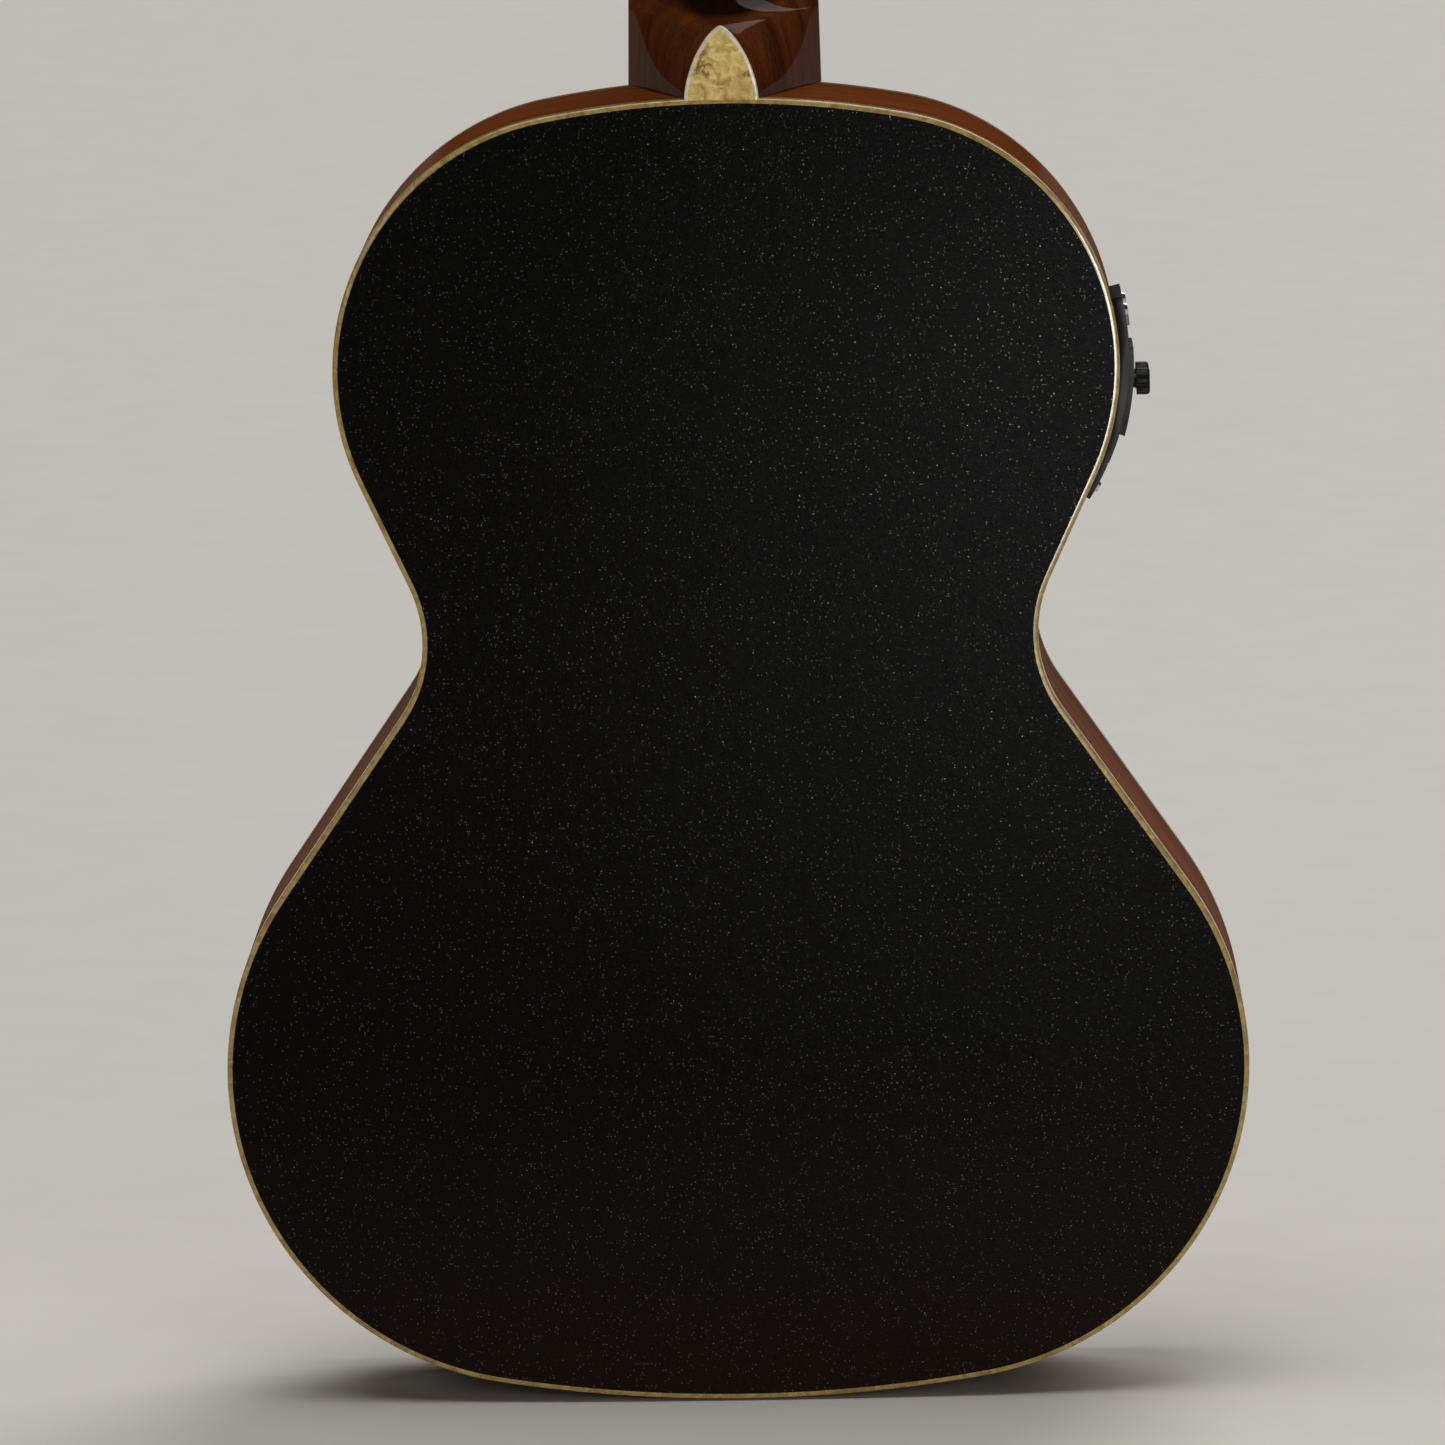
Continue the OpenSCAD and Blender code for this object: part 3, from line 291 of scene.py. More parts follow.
def woodFinish(name, pale, dark, pore, turn=(0, 0, 0), pores=0.6, bands=60.0, roughness=0.3, bump=0.3,
               uv=None, shade=None, **shader):
    finish, tree, surface, where = newFinish(name, **shader)
    vector = addNode(tree, "UVMap", uv_map=uv).outputs[0] if uv else where["Object"]
    vector = addNode(tree, "Mapping", {"Vector": vector, "Rotation": [radians(a) for a in turn]}).outputs[0]
    grain = useGroup(tree, woodGrain, {"Vector": vector, "Pale": hexColour(pale), "Dark": hexColour(dark),
                                       "Pore": hexColour(pore), "Pores": pores, "Bands": bands})
    colour = grain["Color"]
    if shade:
        # painted shade: where a shade mask is given, it darkens the wood colour towards near-black
        colour = mixColour(tree, shade(tree, where), colour, hexColour("0b0604"))
    tree.links.new(colour, surface.inputs["Base Color"])
    tree.links.new(maths(tree, "ADD", grain["Roughness"], roughness), surface.inputs["Roughness"])
    addBump(tree, surface, grain["Height"], bump)
    return finish


def pearlFinish(name, base, light, cracks, flakes, **shader):
    finish, tree, surface, where = newFinish(name, **shader)
    pearl = useGroup(tree, pearlFlakes, {"Vector": where["Object"], "Flakes": flakes, "Cracks": cracks,
                                         "Base": hexColour(base), "Light": hexColour(light),
                                         "Crack": hexColour("4a3208")})
    tree.links.new(pearl["Color"], surface.inputs["Base Color"])
    varyRoughness(tree, surface, where["Object"], 0.12, 0.25)
    addBump(tree, surface, pearl["Height"], 0.15)
    return finish


def metalFinish(name, colour, low, high, tarnish="5a5048"):
    finish, tree, surface, where = newFinish(name, Metallic=1.0)
    cloud = noise(tree, where["Object"], 90.0, 4.0, 0.5)
    mask = ranged(tree, cloud, 0.52, 0.78, 0.0, 0.4)
    tree.links.new(mixColour(tree, mask, hexColour(colour), hexColour(tarnish)), surface.inputs["Base Color"])
    varyRoughness(tree, surface, where["Object"], low, high, 60.0)
    addBump(tree, surface, noise(tree, stretched(tree, where["Object"], 600, 3200, 900), 1.0, 2.0), 0.05)
    return finish


def plasticFinish(name, colour, low, high, grainSize=2200.0, bump=0.08, **shader):
    finish, tree, surface, where = newFinish(name, **shader)
    cloud = noise(tree, where["Object"], 70.0, 4.0)
    base = hexColour(colour)
    worn = tuple(min(1.0, c * 1.5 + 0.004) for c in base[:3]) + (1.0,)
    tree.links.new(mixColour(tree, ranged(tree, cloud, 0.4, 0.75, 0.0, 0.6), base, worn),
                   surface.inputs["Base Color"])
    varyRoughness(tree, surface, where["Object"], low, high)
    addBump(tree, surface, noise(tree, where["Object"], grainSize, 2.0), bump)
    return finish


def laminateFinish():
    finish, tree, surface, where = newFinish("blackLaminate", Specular_IOR_Level=0.07)
    peel = useGroup(tree, sprayedPeel, {"Vector": where["Object"], "Grain": 2300.0})
    cloud = noise(tree, where["Object"], 9.0, 3.0)
    parts = addNode(tree, "SeparateXYZ", {0: where["Object"]}).outputs
    paintedFloorWarmth = ranged(tree, parts[2], -0.60, -0.71, 0.0, 1.0)       # painted warm reflection of the floor, stronger towards the tail
    black = mixColour(tree, cloud, hexColour("030302"), hexColour("070504"))
    # painted reflection: the black is mixed towards a warm brown near the tail
    black = mixColour(tree, paintedFloorWarmth, black, hexColour("1c120b"))
    glint = maths(tree, "MULTIPLY", peel["Sparkle"], 0.25)
    tree.links.new(mixColour(tree, glint, black, hexColour("c8c4b8")), surface.inputs["Base Color"])
    tree.links.new(maths(tree, "MULTIPLY", peel["Sparkle"], 0.9), surface.inputs["Metallic"])
    sockets = {"Vector": where["Object"], "Patch": 14.0, "Low": 0.24, "High": 0.3}
    smooth = useGroup(tree, handling, sockets)["Value"]
    tree.links.new(maths(tree, "MULTIPLY_ADD", peel["Sparkle"], -0.12, smooth), surface.inputs["Roughness"])
    addBump(tree, surface, peel["Height"], 1.0)
    return finish


def windingFinish():
    finish, tree, surface, where = newFinish("woundString", Metallic=1.0)
    wave = addNode(tree, "TexWave", {"Vector": where["Object"], "Scale": 1050.0}, bands_direction="Z")
    cloud = noise(tree, where["Object"], 60.0, 3.0)
    bronze = mixColour(tree, cloud, hexColour("c08a4a"), hexColour("8a5c2c"))
    tree.links.new(bronze, surface.inputs["Base Color"])
    varyRoughness(tree, surface, where["Object"], 0.25, 0.42)
    addBump(tree, surface, wave.outputs["Fac"], 0.6, 0.0001)
    return finish


def topFinish():
    # spruce: straight fine year lines, closer together at the middle seam
    finish, tree, surface, where = newFinish("spruceTop", Coat_Weight=0.6, Coat_Roughness=0.12)
    parts = addNode(tree, "SeparateXYZ", {0: where["Object"]}).outputs
    across = maths(tree, "ABSOLUTE", parts[0])
    vector = addNode(tree, "CombineXYZ", {0: across, 1: parts[1], 2: parts[2]}).outputs[0]
    wander = noise(tree, stretched(tree, vector, 30, 30, 3), 1.0, 2.0)
    shifted = maths(tree, "MULTIPLY_ADD", wander, 0.004, across)
    lines = addNode(tree, "CombineXYZ", {0: shifted}).outputs[0]
    wave = addNode(tree, "TexWave", {"Vector": lines, "Scale": 215.0, "Distortion": 1.2, "Detail": 2.0},
                   wave_profile="SAW")
    fibres = noise(tree, stretched(tree, vector, 1700, 1700, 40), 1.0, 2.0)
    silk = noise(tree, stretched(tree, vector, 45, 45, 260), 1.0, 3.0, 1.0)
    tone = maths(tree, "MULTIPLY_ADD", fibres, 0.4, maths(tree, "MULTIPLY", wave.outputs["Fac"], 0.55))
    colour = mixColour(tree, tone, hexColour("d8a561"), hexColour("a9682c"))
    colour = mixColour(tree, ranged(tree, silk, 0.45, 0.8, 0.0, 0.35), colour, hexColour("e6bd80"))
    # darker sprayed shading towards the rim
    shape = addNode(tree, "CombineXYZ", {0: maths(tree, "MULTIPLY", parts[0], 6.9),
                                         1: maths(tree, "MULTIPLY_ADD", parts[2], 4.6, 2.45)}).outputs[0]
    reach = addNode(tree, "VectorMath", {0: shape}, operation="LENGTH").outputs["Value"]
    burst = ranged(tree, reach, 0.45, 1.05, 0.0, 0.94)
    tree.links.new(mixColour(tree, burst, colour, hexColour("1a0e08")), surface.inputs["Base Color"])
    varyRoughness(tree, surface, where["Object"], 0.22, 0.34)
    addBump(tree, surface, tone, 0.12)
    return finish


finishes = {
    "laminate": laminateFinish(),
    "binding": pearlFinish("agedPearloid", "8f7030", "c2a662", cracks=0.2, flakes=420.0,
                           Coat_Weight=0.5, Coat_Roughness=0.08),
    "heelCap": pearlFinish("crackedPearloid", "b48a30", "ffe08a", cracks=0.9, flakes=130.0,
                           Coat_Weight=0.6, Coat_Roughness=0.06),
    "capEdge": pearlFinish("palePearloid", "cfc09a", "f7f0dc", cracks=0.05, flakes=420.0,
                           Coat_Weight=0.6, Coat_Roughness=0.06),
    "pearl": pearlFinish("whitePearloid", "c3bda8", "f4f0e4", cracks=0.05, flakes=420.0,
                         Coat_Weight=0.5, Coat_Roughness=0.1),
    "side": woodFinish("sideMahogany", "86461f", "47200d", "1e0d07", uv="grain", pores=0.7, bands=55.0,
                       roughness=0.3, Specular_IOR_Level=0.0, Coat_Weight=0.06, Coat_Roughness=0.06),
    "neck": woodFinish("neckMahogany", "70381a", "3a1b0c", "100704", turn=(0, 90, 0), shade=paintedShaftShade,
                       bands=70.0, roughness=0.28, Specular_IOR_Level=0.0, Coat_Weight=0.09,
                       Coat_Roughness=0.05),
    "inner": woodFinish("innerSpruce", "e0bd88", "b98c52", "8c6434", turn=(0, 90, 0), pores=0.2, bands=140.0,
                        roughness=0.5),
    "across": woodFinish("braceSpruce", "e0bd88", "b98c52", "8c6434", pores=0.2, bands=140.0, roughness=0.5),
    "block": woodFinish("blockMahogany", "a8693c", "6e3e20", "3a2010", turn=(0, 90, 0), pores=0.6, bands=70.0,
                        roughness=0.5),
    "top": topFinish(),
    "rosewood": woodFinish("rosewood", "4a2c1c", "1e100a", "0b0604", turn=(0, 90, 0), pores=0.8, bands=120.0,
                           roughness=0.36, bump=0.5),
    "bridgeWood": woodFinish("bridgeRosewood", "4a2c1c", "1e100a", "0b0604", pores=0.8, bands=120.0,
                             roughness=0.34, bump=0.5),
    "overlay": plasticFinish("blackFace", "0b0a09", 0.08, 0.16, bump=0.02, Coat_Weight=0.8,
                             Coat_Roughness=0.05),
    "bone": plasticFinish("bone", "e8dfc6", 0.28, 0.42, bump=0.05, Subsurface_Weight=0.1,
                          Subsurface_Radius=(0.003, 0.002, 0.001)),
    "nickel": metalFinish("nickelSilver", "c9c5b8", 0.16, 0.30),
    "chrome": metalFinish("chromePlate", "d5d5d8", 0.07, 0.20, tarnish="8c8a86"),
    "steel": metalFinish("steel", "9d9c9a", 0.25, 0.42),
    "brass": metalFinish("brass", "b8923e", 0.25, 0.40),
    "blackPlastic": plasticFinish("satinBlackPlastic", "0c0b0a", 0.26, 0.38, grainSize=2600.0, bump=0.12,
                                  Specular_IOR_Level=0.2),
    "blackGloss": plasticFinish("glossBlackPlastic", "0e0e0d", 0.14, 0.26, bump=0.03),
    "button": plasticFinish("greyButton", "77756f", 0.35, 0.5),
    "cream": plasticFinish("creamButton", "ddd0a8", 0.18, 0.32, bump=0.03, Coat_Weight=0.4,
                           Coat_Roughness=0.1),
    "lens": plasticFinish("smokedLens", "16211f", 0.05, 0.1, bump=0.01, Coat_Weight=1.0,
                          Coat_Roughness=0.03),
    "stringPlain": metalFinish("plainString", "c8c6c2", 0.15, 0.28),
    "stringWound": windingFinish(),
    "sheath": plasticFinish("leadSheath", "161514", 0.4, 0.6),
    "lineWhite": plasticFinish("inlayWhite", "d9d0b6", 0.25, 0.4),
    "lineBlack": plasticFinish("inlayBlack", "0d0b0a", 0.25, 0.4),
}
print("finishes made,", len(finishes))


# pieces
def finishPiece(name, bm, finishNames, body="guitar", stands=(), sharp=35, bevel=None):
    mesh = bpy.data.meshes.new(name)
    for face in bm.faces:
        face.smooth = True
    for edge in bm.edges:
        edge.smooth = bool(bevel) or (len(edge.link_faces) == 2 and edge.calc_face_angle(0) < radians(sharp))
    bm.to_mesh(mesh)
    bm.free()
    for key in [finishNames] if isinstance(finishNames, str) else finishNames:
        mesh.materials.append(finishes[key])
    piece = bpy.data.objects.new(name, mesh)
    scene.collection.objects.link(piece)
    if bevel:
        soft = piece.modifiers.new("softEdges", "BEVEL")
        soft.width, soft.segments, soft.limit_method, soft.angle_limit = bevel, 3, "ANGLE", radians(sharp)
        soft.harden_normals = True
    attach(piece, body)
    if stands:
        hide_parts(*stands)
    return piece


def outward(bm):
    bmesh.ops.remove_doubles(bm, verts=bm.verts, dist=1e-6)
    bmesh.ops.recalc_face_normals(bm, faces=bm.faces)


def wholeOf(bm):
    return bm.verts[:] + bm.edges[:] + bm.faces[:]


def newVerts(geom):
    return [g for g in geom if isinstance(g, bmesh.types.BMVert)]


def roundEdges(bm, edges, radius, segments, **settings):
    bmesh.ops.bevel(bm, geom=edges, offset=radius, affect="EDGES", segments=segments, profile=0.5,
                    material=-1, **settings)


def newEdges(geom):
    return [g for g in geom if isinstance(g, bmesh.types.BMEdge)]


def addRod(bm, foot, tip, length, segments=32):
    # round bar about the origin, along Z
    return bmesh.ops.create_cone(bm, cap_ends=True, segments=segments, radius1=foot, radius2=tip,
                                 depth=length)["verts"]


def moveBy(bm, verts, x, y, z):
    bmesh.ops.translate(bm, verts=verts, vec=(x, y, z))


def turnOver(bm, verts, angle, axis):
    # about the origin
    bmesh.ops.rotate(bm, verts=verts, cent=(0, 0, 0), matrix=Matrix.Rotation(angle, 3, axis))


def fromCad(node):
    bm = bmesh.new()
    bm.from_mesh(frame["nodes"][node].data)
    bmesh.ops.remove_doubles(bm, verts=bm.verts, dist=2e-6)
    bmesh.ops.dissolve_limit(bm, angle_limit=radians(0.3), verts=bm.verts, edges=bm.edges)
    return bm


def cutOut(piece, cutter):
    cut = piece.modifiers.new("cut", "BOOLEAN")
    cut.object, cut.solver = cutter, "EXACT"
    graph = bpy.context.evaluated_depsgraph_get()
    piece.data = bpy.data.meshes.new_from_object(piece.evaluated_get(graph))
    piece.modifiers.remove(cut)
    bpy.data.objects.remove(cutter)


# body: five arcs a side, each (radius, centre out from the middle, centre down from the neck joint)
bodyShape = dict(length=0.3818, upper=(0.0748, 0.0395, 0.0785), waist=(0.0386, 0.1281, 0.1564),
                 lower=(0.0932, 0.0562, 0.2841), depth=0.088, archRadius=1.5, archDown=0.215, step=0.003,
                 easeFrom=0.01, easeTo=0.079)
bindingSet = dict(width=0.0015, height=0.006, corner=0.0007, cornerSteps=4)
sideSet = dict(thickness=0.0026, rows=12, seamReach=0.01)
topSet = dict(thickness=0.0028, holeRadius=0.043, holeZ=-0.443, holeSides=96, holeSoft=0.0006)
backSet = dict(thickness=0.003, cell=0.009)


def headingOf(v):
    return atan2(v[1], v[0])


def endArc(out, down, radius):
    return (out * out + down * down - radius * radius) / (2 * (down - radius))


def outlineRun(s):
    # (centre of turn, turn about +Y, straight move, length) for each stretch, from the neck joint to the tail
    top, end = bodyTop, bodyTop - s["length"]
    upperR, waistR, lowerR = s["upper"][0], s["waist"][0], s["lower"][0]
    upper, waist, lower = (Vector((s[k][1], top - s[k][2])) for k in ("upper", "waist", "lower"))
    topR = endArc(s["upper"][1], s["upper"][2], upperR)
    tailR = endArc(s["lower"][1], s["length"] - s["lower"][2], lowerR)
    shoulder = headingOf(upper - Vector((0, top - topR)))
    hip = headingOf(lower - Vector((0, end + tailR)))
    upperLeg = headingOf(waist - upper) + acos((upperR + waistR) / (waist - upper).length)
    lowerLeg = headingOf(waist - lower) - acos((lowerR + waistR) / (waist - lower).length)

    def arc(centre, turn, radius):
        return Vector((centre[0], 0, centre[1])), turn, Vector(), abs(turn) * radius

    def straight(centre, radius, heading, toCentre, toRadius, toHeading):
        start = centre + radius * Vector((cos(heading), sin(heading)))
        move = toCentre + toRadius * Vector((cos(toHeading), sin(toHeading))) - start
        return Vector(), 0.0, Vector((move.x, 0, move.y)), move.length

    return [
        arc((0, top - topR), pi / 2 - shoulder, topR),
        arc(upper, shoulder - upperLeg, upperR),
        straight(upper, upperR, upperLeg, waist, waistR, pi + upperLeg),
        arc(waist, upperLeg - lowerLeg, waistR),
        straight(waist, waistR, pi + lowerLeg, lower, lowerR, lowerLeg),
        arc(lower, lowerLeg - hip, lowerR),
        arc((0, end + tailR), hip + pi / 2, tailR),
    ]


def archY(x, z):
    s = bodyShape
    drop = s["archRadius"] - sqrt(s["archRadius"] ** 2 - x * x - (z - bodyTop + s["archDown"]) ** 2)
    return s["depth"] - drop


def liftOntoArch(bm):
    # the front stays flat and the back rim follows the arch; the wall eases from one to the other
    low, high = bodyShape["easeFrom"], bodyShape["easeTo"]
    for v in bm.verts:
        share = min(1.0, max(0.0, (v.co.y - low) / (high - low)))
        v.co.y += share * (archY(v.co.x, v.co.z) - bodyShape["depth"])


def sweepOutline(bm, profile, closed=True):
    # the profile is (inward, depth) points; it travels down the treble half of the outline
    along = bm.verts.layers.float.new("along")
    ring = [bm.verts.new((0, y, bodyTop - inward)) for inward, y in profile]
    joined = zip(ring, ring[1:] + ring[:1]) if closed else zip(ring, ring[1:])
    geom = ring + [bm.edges.new(pair) for pair in joined]
    travelled = 0.0
    for centre, turn, move, length in outlineRun(bodyShape):
        steps = max(2, round(length / bodyShape["step"]))
        for _ in range(steps):
            geom = bmesh.ops.spin(bm, geom=geom, cent=centre, axis=(0, 1, 0), dvec=move / steps,
                                  angle=turn / steps, steps=1)["geom_last"]
            travelled += length / steps
            for v in geom:
                if isinstance(v, bmesh.types.BMVert):
                    v[along] = travelled
    return along


def bothHalves(bm):
    bmesh.ops.mirror(bm, geom=wholeOf(bm), matrix=Matrix(), merge_dist=1e-5, axis="X")
    outward(bm)


def roundedCorner(depth, radius, steps):
    # quarter circle between the outer wall and the face at this depth
    toward = 1 if depth < bodyShape["depth"] / 2 else -1
    turns = [pi / 2 * i / steps for i in range(steps + 1)]
    return [(radius * (1 - cos(a)), depth + toward * radius * (1 - sin(a))) for a in turns]


def buildBinding(name, face, inner, node):
    s, bm = bindingSet, bmesh.new()
    sweepOutline(bm, roundedCorner(face, s["corner"], s["cornerSteps"])
                 + [(s["width"], face), (s["width"], inner), (0, inner)])
    bothHalves(bm)
    liftOntoArch(bm)
    return finishPiece(name, bm, "binding", stands=(node,))


buildBinding("front_binding_strip", 0.0, bindingSet["height"], "front_binding")
buildBinding("back_binding_strip", bodyShape["depth"], bodyShape["depth"] - bindingSet["height"],
             "back_binding")


def buildSide(name, node, sign):
    b, d, t = bindingSet, bodyShape["depth"], sideSet["thickness"]
    wall = [b["height"] + (d - 2 * b["height"]) * i / sideSet["rows"] for i in range(sideSet["rows"] + 1)]
    backY, topY = d - backSet["thickness"], topSet["thickness"]
    profile = ([(0, y) for y in wall] + [(b["width"], d - b["height"]), (b["width"], backY), (t, backY)]
               + [(t, y) for y in wall[::-2]] + [(t, topY), (b["width"], topY), (b["width"], b["height"])])
    bm = bmesh.new()
    along = sweepOutline(bm, profile)
    for end in (bodyTop, bodyTop - bodyShape["length"]):       # the seams on the centreline are closed
        seam = [e for e in bm.edges if e.is_boundary
                and all(abs(v.co.z - end) < sideSet["seamReach"] for v in e.verts)]
        bmesh.ops.holes_fill(bm, edges=seam, sides=0)
    if sign < 0:
        bmesh.ops.scale(bm, verts=bm.verts, vec=(-1, 1, 1))
    outward(bm)
    liftOntoArch(bm)
    grainMap = bm.loops.layers.uv.new("grain")
    for f in bm.faces:
        for loop in f.loops:
            loop[grainMap].uv = (loop.vert[along], loop.vert.co.y)
    return finishPiece(name, bm, "side", stands=(node,))


bassWood = buildSide("bass_side_wood", "bass_side", -1)
trebleWood = buildSide("treble_side_wood", "treble_side", 1)


def looseObject(name, bm):
    mesh = bpy.data.meshes.new(name)
    bm.to_mesh(mesh)
    bm.free()
    made = bpy.data.objects.new(name, mesh)
    scene.collection.objects.link(made)
    return made


# openings in the sides: the preamp's box and the output jack
preampLow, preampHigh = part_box("preamp_box")
preampSet = dict(clearance=0.0004, cutDepth=0.02)
jackSet = dict(heading=-60.0, depth=0.036, bore=0.0048, cutLength=0.03)


def preampOpening():
    bm = bmesh.new()
    margin = Vector((0, preampSet["clearance"], preampSet["clearance"]))
    low, high = preampLow - margin, preampHigh + margin
    low.x -= preampSet["cutDepth"]
    bmesh.ops.create_cube(bm, size=1)
    bmesh.ops.scale(bm, verts=bm.verts, vec=high - low)
    bmesh.ops.translate(bm, verts=bm.verts, vec=(high + low) / 2)
    return looseObject("preampOpening", bm)


def jackOpening():
    s, bm = jackSet, bmesh.new()
    radius, out, down = bodyShape["lower"]
    heading = radians(s["heading"])
    centre = Vector((out + radius * cos(heading), s["depth"], bodyTop - down + radius * sin(heading)))
    addRod(bm, s["bore"], s["bore"], s["cutLength"], segments=48)
    turn = Matrix.Translation(centre) @ Matrix.Rotation(pi / 2 - heading, 4, "Y")
    bmesh.ops.transform(bm, verts=bm.verts, matrix=turn)
    return looseObject("jackOpening", bm)


cutOut(bassWood, preampOpening())
cutOut(trebleWood, jackOpening())


def fillOutline(bm, inward, depth):
    sweepOutline(bm, [(inward, depth)], closed=False)
    bothHalves(bm)


def cutGrid(bm, cell):
    # even cells over the whole sheet, so that it can take a curve
    for axis in (2, 0):
        low, high = min(v.co[axis] for v in bm.verts), max(v.co[axis] for v in bm.verts)
        for i in range(int(low / cell) - 1, int(high / cell) + 2):
            plane = [0, 0, 0]
            plane[axis] = 1
            bmesh.ops.bisect_plane(bm, geom=wholeOf(bm), dist=1e-7, plane_no=plane,
                                   plane_co=[i * cell * p for p in plane])


def thicken(bm, amount):
    grown = bmesh.ops.extrude_face_region(bm, geom=bm.faces[:])["geom"]
    moveBy(bm, newVerts(grown), 0, amount, 0)
    outward(bm)


def buildBack():
    bm = bmesh.new()
    fillOutline(bm, bindingSet["width"], bodyShape["depth"])
    bmesh.ops.contextual_create(bm, geom=bm.edges[:])
    cutGrid(bm, backSet["cell"])
    thicken(bm, -backSet["thickness"])
    liftOntoArch(bm)
    return finishPiece("back_sheet", bm, "laminate", stands=("back_plate",),
                       sharp=40)


def buildTop():
    s, bm = topSet, bmesh.new()
    fillOutline(bm, bindingSet["width"], 0)
    hole = bmesh.ops.create_circle(bm, segments=s["holeSides"], radius=s["holeRadius"])["verts"]
    turnOver(bm, hole, pi / 2, "X")
    moveBy(bm, hole, 0, 0, s["holeZ"])
    bmesh.ops.triangle_fill(bm, use_beauty=True, use_dissolve=False, edges=bm.edges[:])
    thicken(bm, s["thickness"])
    rim = [e for e in bm.edges if all(
        abs(v.co.y) < 1e-6 and abs(hypot(v.co.x, v.co.z - s["holeZ"]) - s["holeRadius"]) < 1e-5
        for v in e.verts)]
    roundEdges(bm, rim, s["holeSoft"], 3)
    return finishPiece("soundboard_sheet", bm, "top", stands=("soundboard",))


buildBack()
buildTop()

# rosette: a ring of pearloid between black and white lines, set a hair proud; (outer radius, finish)
rosetteSet = dict(inner=0.048, bands=((0.0486, 1), (0.0491, 2), (0.0539, 0), (0.0544, 2), (0.055, 1)),
                  proud=0.00004, sunk=0.001, steps=120)


def buildRosette():
    bm = bmesh.new()
    s, z = rosetteSet, topSet["holeZ"]
    inner = s["inner"]
    for outer, kind in s["bands"]:
        corners = [bm.verts.new((r, y, z)) for r, y in (
            (inner, s["sunk"]), (inner, -s["proud"]), (outer, -s["proud"]), (outer, s["sunk"]))]
        geom = corners + [bm.edges.new(pair) for pair in zip(corners, corners[1:] + corners[:1])]
        before = set(bm.faces)
        bmesh.ops.spin(bm, geom=geom, cent=(0, 0, z), axis=(0, 1, 0), angle=2 * pi, steps=s["steps"],
                       use_merge=True)
        for f in set(bm.faces) - before:
            f.material_index = kind
        inner = outer
    bmesh.ops.recalc_face_normals(bm, faces=bm.faces)
    return finishPiece("rosette_ring", bm, ["pearl", "lineBlack", "lineWhite"], stands=("rosette",))


buildRosette()
print("body made")

# neck and heel
capY = archY(0, bodyTop)


def halfWidth(z):
    return neckSet["nutWidth"] / 2 + (neckSet["jointWidth"] - neckSet["nutWidth"]) / 2 * z / bodyTop


def capEdge(z):
    # pointed arch, in plan
    if z >= capTip:
        return 0.0
    share = max(0.0, 1 - (capTip - z) / neckSet["capLength"])
    return neckSet["capHalf"] * (1 - share ** 1.6) ** 0.68


def sweepShare(z):
    return min(1.0, max(0.0, (capTip + neckSet["sweep"] - z) / neckSet["sweep"]))


def neckDepth(z):
    shaft = neckSet["depth"] + neckSet["swell"] * max(0.0, z / bodyTop)
    return shaft + (capY - neckSet["capThickness"] - shaft) * (1 - sqrt(max(0.0, 1 - sweepShare(z) ** 2.2)))


def neckSection(z):
    # round under the shaft, straight cheeks at the heel
    wide, deep, narrow, k = halfWidth(z), neckDepth(z), max(0.0004, capEdge(z)), sweepShare(z) ** 0.7
    right = []
    for i in range(neckSet["around"] + 1):
        a = pi / 2 * i / neckSet["around"]
        reach = (1 - k) * max(0.0, cos(a)) ** 0.9 + k * (1 - sin(a)) ** 0.85
        right.append((narrow + (wide - narrow) * reach, deep * sin(a)))
    return right + [(-x, y) for x, y in right[::-1]]


def capRows(count):
    # levels from the cap's tip into the body, closest at the tip
    back = neckSet["capLength"] + neckSet["intoBody"]
    return [capTip - back * (i / count) ** neckSet["crowding"] for i in range(count + 1)]


def neckStations():
    s, foot = neckSet, capTip + neckSet["sweep"]
    shaft = [s["start"] + (foot - s["start"]) * i / s["shaftRows"] for i in range(s["shaftRows"] + 1)]
    turns = [pi / 2 * i / s["sweepRows"] for i in range(1, s["sweepRows"] + 1)]
    sweep = [capTip + s["sweep"] * (1 - sin(a)) for a in turns]
    return shaft + sweep + capRows(s["heelRows"])[1:]


def loft(bm, sections):
    # sections are (points in X and Y, Z) with the same number of points each
    count = len(sections[0][0])
    place = bm.verts.layers.int.new("place")
    ring = bmesh.ops.create_circle(bm, segments=count, radius=1)["verts"]
    for i, v in enumerate(ring):
        v[place] = i
    edges = bm.edges[:]
    for n, (points, z) in enumerate(sections):
        if n:
            made = bmesh.ops.extrude_edge_only(bm, edges=edges)["geom"]
            ring, edges = newVerts(made), newEdges(made)
        for v in ring:
            x, y = points[v[place]]
            v.co = (x, y, z)
    bmesh.ops.holes_fill(bm, edges=[e for e in bm.edges if e.is_boundary], sides=0)
    bmesh.ops.recalc_face_normals(bm, faces=bm.faces)


def buildNeck():
    bm = bmesh.new()
    loft(bm, [(neckSection(z), z) for z in neckStations()])
    return finishPiece("neck_wood", bm, "neck", stands=("neck",), sharp=50)


capSet = dict(rows=26, soft=0.0005, strip=0.0006)


